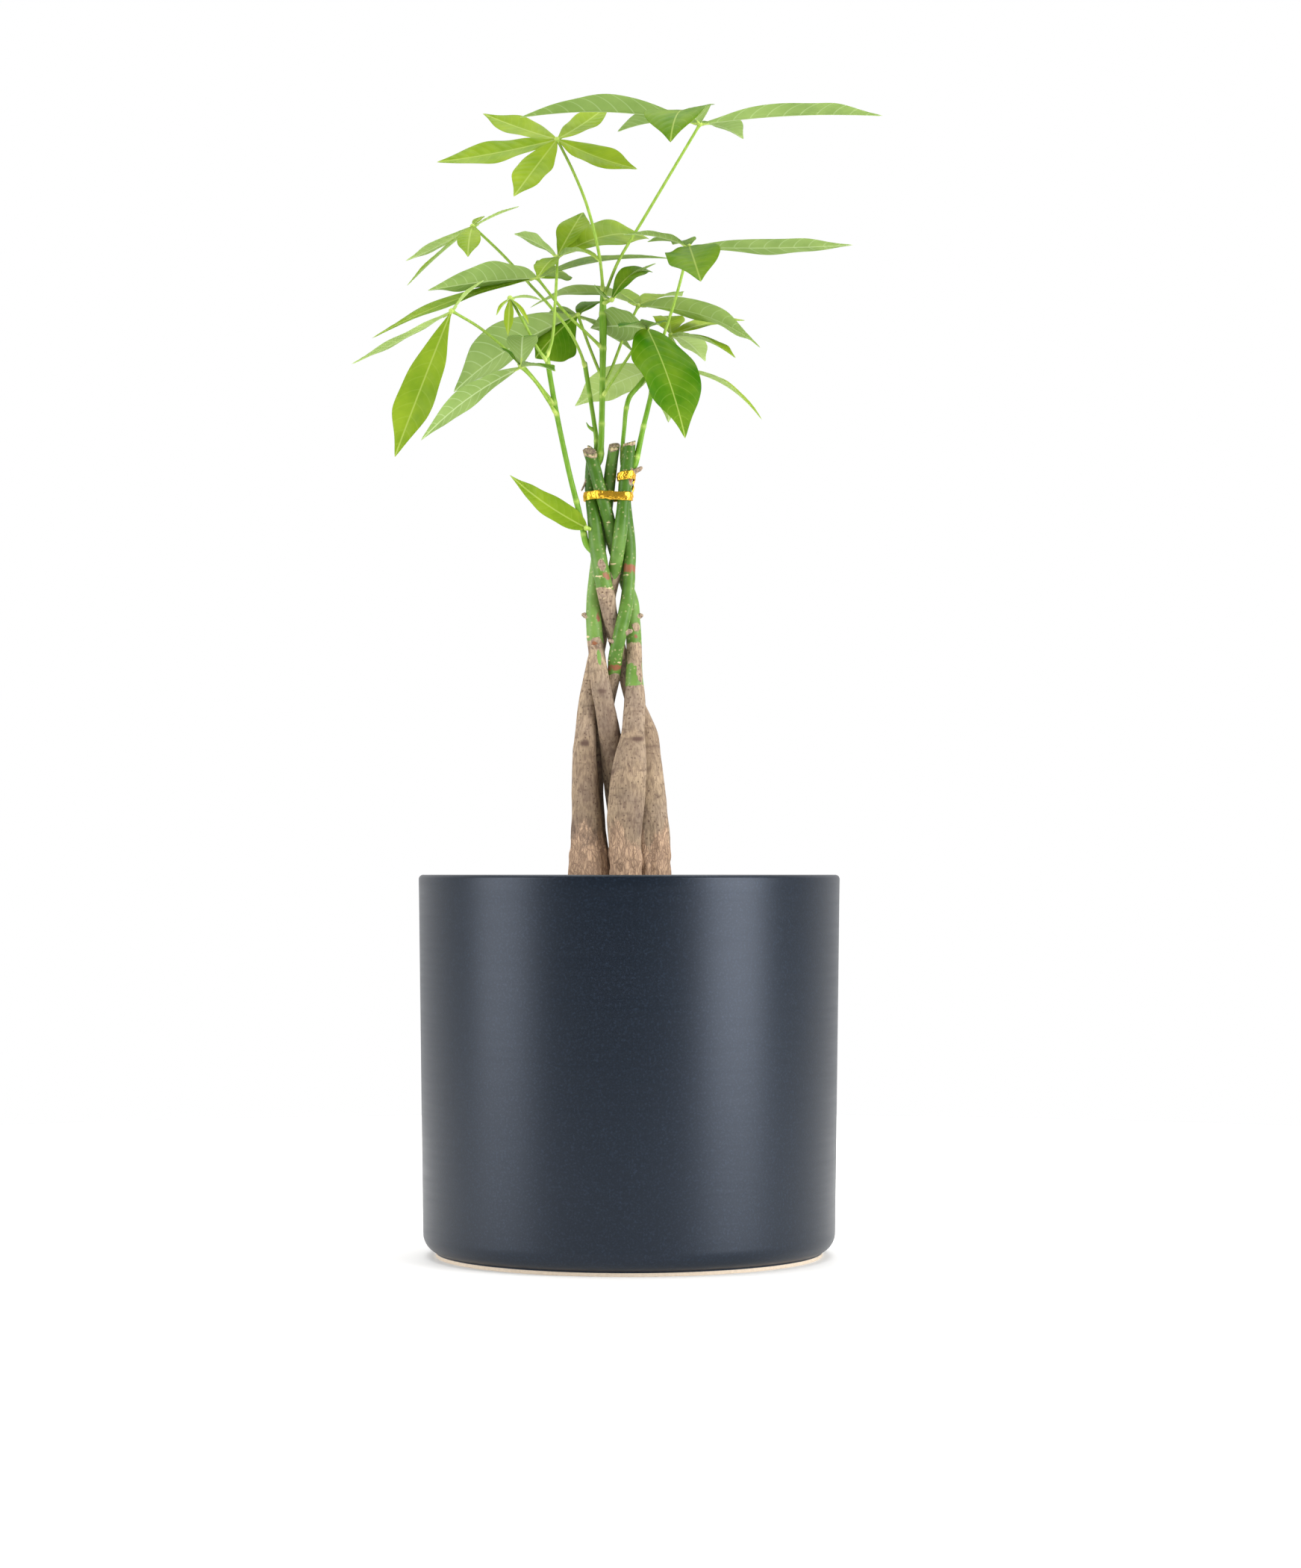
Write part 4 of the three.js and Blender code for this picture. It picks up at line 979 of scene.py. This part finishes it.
def stem_marks(z, angle, marks, number, high):
    """How much of each mark every place on a stem's skin has, and how far its bark's edge wanders there."""
    wander = stem_noise(z, angle, 6, 5, number)
    bark = 1 - ease(-0.5, 0.5, (z - marks["green_from"] - marks["ragged"] * wander) / 3)
    for *patch, sign in marks["patches"]:
        bark = np.clip(bark + sign * 1.6 * soft_patch(z, angle, *patch), 0, 1)
    scar = np.zeros_like(bark)
    for patch in marks["scars"]:
        scar = np.maximum(scar, soft_patch(z, angle, *patch))
    ring = np.zeros_like(bark)
    for height in marks["rings"]:
        tilt = 0.8 * np.cos(angle - number * 2.1 - height)
        broken = 0.45 + 0.55 * stem_noise(z, angle, 3, 7, number + 60)
        ring = np.maximum(ring, bump(z - height - tilt, 0.7) * broken)
    # Dark knots of the bark, and wide faint clouds of painted shade.
    stain = np.zeros_like(bark)
    for *patch, strength in marks["knots_and_shade"]:
        stain = np.maximum(stain, strength * np.minimum(1.6 * soft_patch(z, angle, *patch), 1))
    dried = ease(high - 2.6, high - 0.8, z + 0.9 * stem_noise(z, angle, 2, 9, number + 70))
    return {
        "wander": wander, "bark": np.maximum(bark, dried), "scar": scar, "ring": ring, "stain": stain,
        "fibre": 1 - ease(*FIBRE_FADE, z + 8 * stem_noise(z, angle, 14, 11, number + 40)),
        "dark": marks["darkness"] + 0.75 * ease(*DEEP_GREEN_RISE, z), "dried": dried,
    }


def stem_skin(name, marks, look, number):
    """A stem's skin. At each height the ring is its centre plus its radius, furrows and lumps, raised at
    leaf-scar rings and sunk in scars; the last 12 mm lean to the slant of the cut."""
    low, high = STEM_LINES[name][0][[0, -1]]
    z = np.linspace(low, high, int((high - low) / (look.step / MM)))[:, None]
    angle = np.linspace(0, 2 * math.pi, look.columns + 1)[None, :]
    x, y, r = stem_at(name, z[:, 0]).T[:, :, None]
    amount = stem_marks(z, angle, marks, number, high)

    furrows = (stem_noise(z, angle, 9, 16, number + 10)
               + 0.6 * stem_noise(z, angle, 4, 28, number + 20))
    lumps = stem_noise(z, angle, 14, 4, number + 30)
    relief = (look.furrow / MM * furrows * (0.12 + 0.4 * amount["bark"] + 2.2 * amount["fibre"])
              + 0.22 * lumps + 0.4 * amount["ring"] * (0.4 + 0.6 * amount["wander"] ** 2)
              - 0.12 * amount["scar"])
    radius = r + np.clip(relief, -0.8, 0.9)
    slope, heading = marks["cut"]
    lean = slope * ease(high - 12, high, z)
    px, py = x + radius * np.cos(angle), y + radius * np.sin(angle)
    across = (px - x) * math.cos(math.radians(heading)) + (py - y) * math.sin(math.radians(heading))
    points = np.stack([px, py, z + lean * (across - r)], axis=-1)
    points[:, -1] = points[:, 0]
    amount["scar"] = np.maximum(amount["scar"] * 0.75, 0.35 * amount["dried"])
    amount["ring"] = np.maximum(0.85 * amount["ring"], 0.5 * amount["dried"])
    return sheet(points, **{name: amount[name] for name in SKIN_MARKS})


def cut_top(rim, number):
    """The dished, ragged face that closes a stem at the ring where its skin ends."""
    share = np.linspace(1, 0, 8)[:, None]
    angle = np.linspace(0, 2 * math.pi, len(rim))[None, :]
    middle = rim[:-1].mean(axis=0)
    ragged = stem_noise(share * 4, angle, 1, 7, number + 50)
    sunk = np.stack([0 * ragged, 0 * ragged, (ragged * 0.35 - 0.5) * np.sin(math.pi * share)], axis=-1)
    top = middle + (rim - middle) * share[..., None] + sunk * (share < 1)[..., None]
    top[-1] = top[-1].mean(axis=0)
    top[:, -1] = top[:, 0]
    return sheet(top, material=1)


def stub(name, mark, seed):
    """A dried stub or bud: a short lumpy rod that starts inside a stem's skin."""
    height, side, length, thick, rise = mark
    x, y, r = stem_circles([name], height)[0]
    share = np.linspace(0, 1, len(STUB_TAPER))[:, None]
    root = np.array([x, y, height]) + direction(side, 0) * (r - 0.6)
    path = root + (length + 0.6) * share * direction(side, rise)
    path = path + np.random.default_rng(seed).uniform(-0.12, 0.12, path.shape) * share
    return tube(path, thick * STUB_TAPER, 9, material=1)


def stem_sheets(name, marks, look, number):
    """A stem: its skin, its cut top, a flat base inside the soil, and its stubs."""
    skin = stem_skin(name, marks, look, number)
    foot, rim = skin["points"][0], skin["points"][-1]
    middle = foot[:-1].mean(axis=0)
    base = middle + (foot - middle) * np.linspace(0, 1, 3)[:, None, None]
    stubs = [stub(name, mark, number * 10 + index) for index, mark in enumerate(marks["stubs"])]
    return [skin, cut_top(rim, number), sheet(base, bark=1.0, fibre=1.0), *stubs]


# Twist tie

def string_round(names, height, slack, steps=240):
    """Closed line of a string pulled tight round stems at a height: in each direction it lies on the stem
    that reaches furthest that way, then it is walked in even steps. Gives points and outward normals."""
    circles = stem_circles(names, height)
    angle = np.linspace(0, 2 * math.pi, 721)[:-1]
    out = np.stack([np.cos(angle), np.sin(angle)], axis=-1)
    reach = out @ circles[:, :2].T + circles[:, 2]
    far = circles[np.argmax(reach, axis=1)]
    line = far[:, :2] + (far[:, 2:] + slack) * out
    line = np.concatenate([line, line[:1]])
    run = np.concatenate([[0], np.cumsum(np.linalg.norm(np.diff(line, axis=0), axis=1))])
    even = np.linspace(0, run[-1], steps + 1)
    walked = np.stack([np.interp(even, run, line[:, k]) for k in (0, 1)], axis=-1)
    ahead = np.roll(walked[:-1], -1, axis=0) - np.roll(walked[:-1], 1, axis=0)
    normal = unit(np.stack([ahead[:, 1], -ahead[:, 0]], axis=-1))
    return walked, np.concatenate([normal, normal[:1]])


def foil_loop(names, height, seed, crumple):
    """A foil-covered ribbon round stems: a flat oval section with a wire ridge, carried round the string,
    and pushed in and out by noise that repeats round the loop."""
    line, normal = string_round(names, height, TIE["slack"] + TIE["thickness"] / 2)
    section = np.linspace(0, 2 * math.pi, 21)[None, :]
    outside = np.cos(section) > 0
    across = np.sign(np.sin(section)) * np.abs(np.sin(section)) ** 0.7
    share = np.linspace(0, 1, len(line))[:, None]
    cells = 46
    creases = lattice_noise(across * 1.6 + 3, share * cells, seed, around=cells)
    creases = creases + 0.7 * lattice_noise(across * 3.1 + 9, share * cells * 2, seed + 1, around=cells * 2)
    edge = 1 + 0.08 * lattice_noise(across * 0 + 1.0, share * 30, seed + 2, around=30)
    outward = TIE["thickness"] / 2 * np.cos(section) + 0.22 * bump(across, 0.25) * outside
    outward = outward + crumple * creases * np.where(outside, 1.0, 0.35)
    level = line[:, None] + normal[:, None] * outward[..., None]
    rise = TIE["width"] / 2 * across * edge + 0.35 * np.sin(2 * math.pi * (share * 2 + 0.1 * seed))
    points = np.concatenate([level, (height + rise)[..., None]], axis=-1)
    points[:, -1] = points[:, 0]
    points[-1] = points[0]
    return sheet(points)


def twisted_end(start, end, width, turns, crumple, seed):
    """A ribbon twisted about a straight line: a flat oval section that turns as it goes."""
    start, end = np.array(start, float), np.array(end, float)
    share = np.linspace(0, 1, 60)[:, None]
    along = unit(end - start)
    side = unit(np.cross(along, [0.0, 1.0, 0.0]))
    over = np.cross(side, along)
    section = np.linspace(0, 2 * math.pi, 17)[None, :]
    turn = 2 * math.pi * turns * share
    flat = width / 2 * np.cos(section) * (1 + crumple * lattice_noise(share * 14, section / 2, seed))
    thin = TIE["thickness"] / 2 * np.sin(section) + 0 * share
    closing = np.sqrt(np.clip(1 - (2 * share - 1) ** 16, 0, 1))
    u = (flat * np.cos(turn) - thin * np.sin(turn)) * closing
    v = (flat * np.sin(turn) + thin * np.cos(turn)) * closing
    points = start + (end - start) * share[..., None] + side * u[..., None] + over * v[..., None]
    points[:, -1] = points[:, 0]
    return sheet(points)


# Pot: the hollow under its foot, the ring that it stands on with its slope inwards, and that ring's edge
FOOT_HOLLOW = 0.6
FOOT_RING = 8.0
FOOT_SLOPE = 1.0
FOOT_EDGE = 0.3


def pot_profiles(look):
    """Outlines of the pot as (radius, height): the glaze from the foot over the rim to the middle of the
    floor, and the bare clay from the middle of the base to the foot. At the height z the wall's outside
    has the radius rim - taper (height - z)."""
    wall, floor, edge, corner, inner_corner, foot, foot_height = (
        getattr(look, key) / MM for key in (
            "wall", "floor", "rim_edge", "corner", "inner_corner", "foot_radius", "foot_height"))
    rim, _, height = POT_BOX[1]

    def outer(z):
        """Radius of the wall's outside at a height."""
        return rim - (height - z) * look.taper

    base, deep, shoulder = foot_height + corner, floor + inner_corner, height - edge
    glazed = np.concatenate([
        [[foot, foot_height]],
        arc(outer(base) - corner, base, corner, -70, 0, 14),
        [[outer(z), z] for z in np.linspace(base, shoulder, 24)[1:-1]],
        arc(outer(height) - edge, shoulder, edge, 0, 90, 8),
        arc(outer(height) - wall + edge, shoulder, edge, 90, 180, 8),
        [[outer(z) - wall, z] for z in np.linspace(shoulder, deep, 14)[1:-1]],
        arc(outer(deep) - wall - inner_corner, deep, inner_corner, 0, -90, 6),
        [[0, floor]],
    ])
    ring = foot - FOOT_RING
    bare = np.concatenate([
        [[0, FOOT_HOLLOW], [ring - FOOT_SLOPE, FOOT_HOLLOW], [ring, 0.0], [foot, 0.0]],
        arc(foot - FOOT_EDGE, FOOT_EDGE, FOOT_EDGE, -60, 0, 3),
        [[foot, foot_height]],
    ])
    return glazed, bare


# Soil: its level at the wall, the seed of its loose bits, its lumps as [share of their height, cell, seed],
# the sides of its buried body as [share of the edge, height above the bottom], and the collar at a stem
SOIL_LEVEL = 148.0
SOIL_SEED = 11
SOIL_LUMPS = [[1.0, 9.0, 1], [0.6, 3.6, 2], [0.35, 1.5, 3]]
SOIL_SIDES = [[0, 0], [0.2, 0], [0.9, 0], [0.96, 6]]
COLLAR_HEIGHT = 2.2
COLLAR_WIDTH = 4.0
CLEARANCE = 2.0


def soil_height(x, y, look, stems):
    """Height of the soil: a mound, lumps of three sizes, and a collar heaped at each stem."""
    share = np.hypot(x, y) / SOIL_BOX[1][0]
    mound = look.rise / MM * np.clip(1 - share ** 2, 0, 1)
    lumps = sum(size * lattice_noise(x / cell + 40, y / cell + 40, seed) for size, cell, seed in SOIL_LUMPS)
    collar = sum(COLLAR_HEIGHT * bump(np.hypot(x - sx, y - sy) - sr, COLLAR_WIDTH) for sx, sy, sr in stems)
    return SOIL_LEVEL + mound + look.lumps / MM * lumps * ease(1.0, 0.9, share) + collar


def soil_sheets(look, stems):
    """The soil's lumpy top and its body down to the pot's floor."""
    edge, bottom = SOIL_BOX[1][0], SOIL_BOX[0][2]
    rings = [[edge * share, 0.0] for share in np.linspace(1, 0, 90)]
    top = spun(rings, 300, lambda x, y: soil_height(x, y, look, stems))
    rim = top["points"][0]
    below = [rim * [share, share, 0] + [0, 0, bottom + rise] for share, rise in SOIL_SIDES]
    return [top, sheet(np.stack([*below, rim]))]


def loose_bits(look, stems):
    """Bits of bark and grains of perlite strewn evenly over the soil, clear of the stems: lumpy balls, each
    flattened, narrowed, tilted, turned and partly sunk."""
    rng = np.random.default_rng(SOIL_SEED)
    bits = []
    for count, is_bark, small, large in ((look.chips, True, 1.0, 3.2), (look.grains, False, 0.8, 1.7)):
        radius = SOIL_BOX[1][0] * 0.95 * np.sqrt(rng.uniform(0, 1, count))
        angle = rng.uniform(0, 2 * math.pi, count)
        size = rng.uniform(small, large, count) ** 1.2
        x, y = radius * np.cos(angle), radius * np.sin(angle)
        gap = np.min(np.hypot(x[:, None] - stems[:, 0], y[:, None] - stems[:, 1]) - stems[:, 2], axis=1)
        z = soil_height(x, y, look, stems) + 0.15 * size
        for i in np.flatnonzero(gap > CLEARANCE):
            flat = rng.uniform(0.25, 0.6) if is_bark else 0.85
            turn = rng.uniform(0, math.pi)
            tilt = rng.uniform(-0.5, 0.5)
            narrow = rng.uniform(0.4, 0.8) if is_bark else 0.9
            bit = ball([0, 0, 0], size[i], 100 + i, rows=5, columns=8, roughness=0.35, squash=flat,
                       material=1 if is_bark else 2)
            pose = np.array(Euler((0, tilt, turn)).to_matrix())
            bit["points"] = bit["points"] * [1.0, narrow, 1.0] @ pose.T + [x[i], y[i], z[i]]
            bits.append(bit)
    return bits


# Stage: the camera, and each softbox as [place, width and height] in metres
CAMERA_PLACE = (0.0096, -1.558, 0.1715)
CAMERA_PITCH = 1.49
CAMERA_LENS, CAMERA_SENSOR = 79.11, 36.0
LIGHTS_AIM = (0, 0, 0.25)
SOFTBOXES = {
    "left": [(-1.5, -0.55, 0.6), (1.0, 1.5)],
    "right": [(1.35, -0.85, 0.6), (1.0, 1.5)],
    "top": [(0.0, 0.5, 1.9), (1.6, 1.2)],
}


def lay_floor(look, scene):
    """A round pale floor."""
    around = np.linspace(0, 2 * math.pi, 65)[:-1]
    rim = np.stack([np.cos(around), np.sin(around), 0 * around], axis=-1) * look.floor_radius
    mesh = bpy.data.meshes.new("floor")
    mesh.from_pydata(rim, [], [list(range(len(rim)))])
    mesh.materials.append(material("matt_paint", matt_paint, look.floor))
    floor = bpy.data.objects.new("floor", mesh)
    scene.collection.objects.link(floor)


def light_evenly(look, scene):
    """White light from all round. Reflections see less of it towards the front, as in a studio that is dark
    behind the camera."""
    scene.world = bpy.data.worlds.new("studio")
    scene.world.use_nodes = True
    tree = scene.world.node_tree
    tree.nodes.clear()
    path = node(tree, "LightPath")
    towards = node(tree, "TexCoord").outputs["Generated"]
    depth = node(tree, "SeparateXYZ", {0: towards}).outputs[1]
    reflected = node(tree, "MapRange", {
        "Value": depth, "From Min": -0.3, "From Max": 0.6,
        "To Min": look.reflected_fill, "To Max": look.fill})
    lit = node(tree, "MapRange", {
        "Value": path.outputs["Is Glossy Ray"], "To Min": look.fill, "To Max": reflected})
    strength = node(tree, "Math", {0: lit, 1: path.outputs["Is Camera Ray"]}, operation="MAXIMUM")
    back = node(tree, "Background", {"Color": (1, 1, 1, 1), "Strength": strength})
    node(tree, "OutputWorld", {"Surface": back})


def hang_lights(look, scene):
    """Soft rectangular lights at both sides and above, turned towards the plant's middle."""
    for name, (place, (wide, tall)) in SOFTBOXES.items():
        light = bpy.data.lights.new(name + "_softbox", "AREA")
        light.shape = "RECTANGLE"
        light.size, light.size_y = wide, tall
        light.energy = getattr(look, name + "_power")
        lamp = bpy.data.objects.new(light.name, light)
        lamp.location = place
        aim = np.array(LIGHTS_AIM) - np.array(place)
        lamp.rotation_euler = (
            math.atan2(math.hypot(aim[0], aim[1]), -aim[2]), 0, math.atan2(aim[1], aim[0]) - math.pi / 2)
        lamp.visible_camera = False
        scene.collection.objects.link(lamp)


def set_camera(scene):
    """The camera in front, level with the pot's rim and pitched up a little."""
    camera = bpy.data.cameras.new("camera")
    camera.sensor_fit = "VERTICAL"
    camera.sensor_height = CAMERA_SENSOR
    camera.lens = CAMERA_LENS
    eye = bpy.data.objects.new("camera", camera)
    eye.location = CAMERA_PLACE
    eye.rotation_euler = (math.radians(90 + CAMERA_PITCH), 0, 0)
    scene.collection.objects.link(eye)
    scene.camera = eye
    scene.view_settings.view_transform = "Standard"


# Pieces

class MONEYTREE_OT_pot(bpy.types.Operator):
    """Turn the glazed pot with its bare clay foot"""

    bl_idname = "money_tree.pot"
    bl_label = "Pot"

    def execute(self, context):
        look = context.scene.money_tree.pot
        sheets = [spun(profile, look.segments, material=i) for i, profile in enumerate(pot_profiles(look))]
        finishes = [
            material("glazed_stoneware", glazed_stoneware, look),
            material("bare_clay", bare_clay, look),
        ]
        surface("glazed_pot", sheets, finishes, "pot")
        return {"FINISHED"}


class MONEYTREE_OT_soil(bpy.types.Operator):
    """Fill the pot with potting mix, heaped at the stems, with loose bark and perlite on it"""

    bl_idname = "money_tree.soil"
    bl_label = "Soil"

    def execute(self, context):
        look = context.scene.money_tree.soil
        stems = stem_circles(STEM_NODES, SOIL_LEVEL)
        finishes = [
            material(name, crumbs, darker(ground, 0.45), tuple(ground), tuple(fleck), grain * MM)
            for name, ground, fleck, grain in (
                ("potting_mix", look.earth, look.chip, 3), ("bark_chips", look.chip, look.chip_fleck, 2),
                ("perlite", look.perlite, look.perlite_fleck, 2))]
        surface("potting_soil", [*soil_sheets(look, stems), *loose_bits(look, stems)], finishes, "soil")
        return {"FINISHED"}


class MONEYTREE_OT_stems(bpy.types.Operator):
    """Grow the five braided stems with their bark, scars, leaf-scar rings, stubs and cut tops"""

    bl_idname = "money_tree.stems"
    bl_label = "Stems"

    def execute(self, context):
        look = context.scene.money_tree.stems
        finishes = [material("living_bark", living_bark, look), material("dried_wood", dried_wood, look)]
        for number, name in enumerate(STEM_NODES):
            sheets = stem_sheets(name, STEM_MARKS[name], look, number)
            surface(name.replace("trunk", "stem"), sheets, finishes, name, SKIN_MARKS)
        return {"FINISHED"}


class MONEYTREE_OT_tie(bpy.types.Operator):
    """Bend the gold foil twist tie round the stems"""

    bl_idname = "money_tree.tie"
    bl_label = "Twist tie"

    def execute(self, context):
        look = context.scene.money_tree.tie
        crumple = look.crumple / MM
        surface("foil_tie", [
            foil_loop(STEM_NODES, TIE["band"], 1, crumple),
            foil_loop(TIE["loop_stems"], TIE["loop"], 4, crumple * 1.4),
            twisted_end(TIE["twist_foot"], TIE["twist_top"], TIE["twist_width"], TIE["twist_turns"], 0.2, 8),
        ], [material("gold_foil", gold_foil, look)], "tie")
        return {"FINISHED"}


class MONEYTREE_OT_shoots(bpy.types.Operator):
    """Grow the green shoots from the stems"""

    bl_idname = "money_tree.shoots"
    bl_label = "Shoots"

    def execute(self, context):
        look = context.scene.money_tree.shoots
        finish = material("shoot_skin", green_skin, look.green, look.pale, streak=1.4 * MM)
        for name, shoot in SHOOTS.items():
            path, radii = line_through(shoot["bends"], shoot["radii"], 0.8)
            joint = sum(bump(path[:, 2] - height, 0.9) for height in shoot["joints"])
            sheets = [tube(path, radii + 0.16 * joint, look.sides, along={"pale": 0.7 * joint})]
            if "bud" in shoot:
                bud, thick = line_through(shoot["bud"], shoot["bud_radii"], 0.4)
                sheets.append(tube(bud, thick, look.sides, pale=0.2))
            surface(name.replace("shoot", "green_shoot"), sheets, [finish], name, ("pale",))
        return {"FINISHED"}


class MONEYTREE_OT_leaves(bpy.types.Operator):
    """Grow every leaf: stalk, hub and veined leaflets as one piece"""

    bl_idname = "money_tree.leaves"
    bl_label = "Leaves"

    def execute(self, context):
        look = context.scene.money_tree.leaves
        finishes = [
            material("leaf_upper_face", leaf_blade, look.deep, look.lime, look.vein,
                     roughness=0.38, gloss=0.12, side_share=0.2, vein_share=0.6),
            material("leaf_underside", leaf_blade, look.under_deep, look.under_lime, look.under_vein,
                     roughness=0.55, gloss=0.2, side_share=0.65, vein_share=0.7),
            material("leaf_stalk", green_skin, look.stalk_green, look.vein, streak=1.0 * MM),
        ]
        for number, (name, leaf) in enumerate(LEAVES.items()):
            sheets = leaf_sheets(leaf, look, np.random.default_rng(number))
            surface(name.replace("leaf", "palmate_leaf"), sheets, finishes, name, ("tone", "pale"))
        return {"FINISHED"}


class MONEYTREE_OT_stage(bpy.types.Operator):
    """Lay a plain pale floor, hang soft studio lights and set the camera"""

    bl_idname = "money_tree.stage"
    bl_label = "Stage"

    def execute(self, context):
        scene = context.scene
        look = scene.money_tree.stage
        lay_floor(look, scene)
        light_evenly(look, scene)
        hang_lights(look, scene)
        set_camera(scene)
        return {"FINISHED"}


class MONEYTREE_PT_panel(bpy.types.Panel):
    """Buttons and settings for the potted money tree"""

    bl_label = "Money Tree"
    bl_space_type = "VIEW_3D"
    bl_region_type = "UI"
    bl_category = "Money Tree"

    def draw(self, context):
        for operator in OPERATORS:
            self.layout.operator(operator.bl_idname)
        settings = context.scene.money_tree
        for group in MoneyTreeSettings.__annotations__:
            box = self.layout.box()
            box.label(text=group.capitalize())
            values = getattr(settings, group)
            for key in type(values).__annotations__:
                box.prop(values, key)


SETTINGS = (PotSettings, SoilSettings, StemSettings, TieSettings, ShootSettings, LeafSettings, StageSettings,
            MoneyTreeSettings)
OPERATORS = (MONEYTREE_OT_stage, MONEYTREE_OT_pot, MONEYTREE_OT_soil, MONEYTREE_OT_stems, MONEYTREE_OT_tie,
             MONEYTREE_OT_shoots, MONEYTREE_OT_leaves)
CLASSES = (*SETTINGS, *OPERATORS, MONEYTREE_PT_panel)


def register():
    for kind in CLASSES:
        bpy.utils.register_class(kind)
    bpy.types.Scene.money_tree = PointerProperty(type=MoneyTreeSettings)


def unregister():
    del bpy.types.Scene.money_tree
    for kind in reversed(CLASSES):
        bpy.utils.unregister_class(kind)


def main():
    """Build every piece."""
    register()
    for operator in OPERATORS:
        group, name = operator.bl_idname.split(".")
        getattr(getattr(bpy.ops, group), name)()


if __name__ == "__main__":
    main()
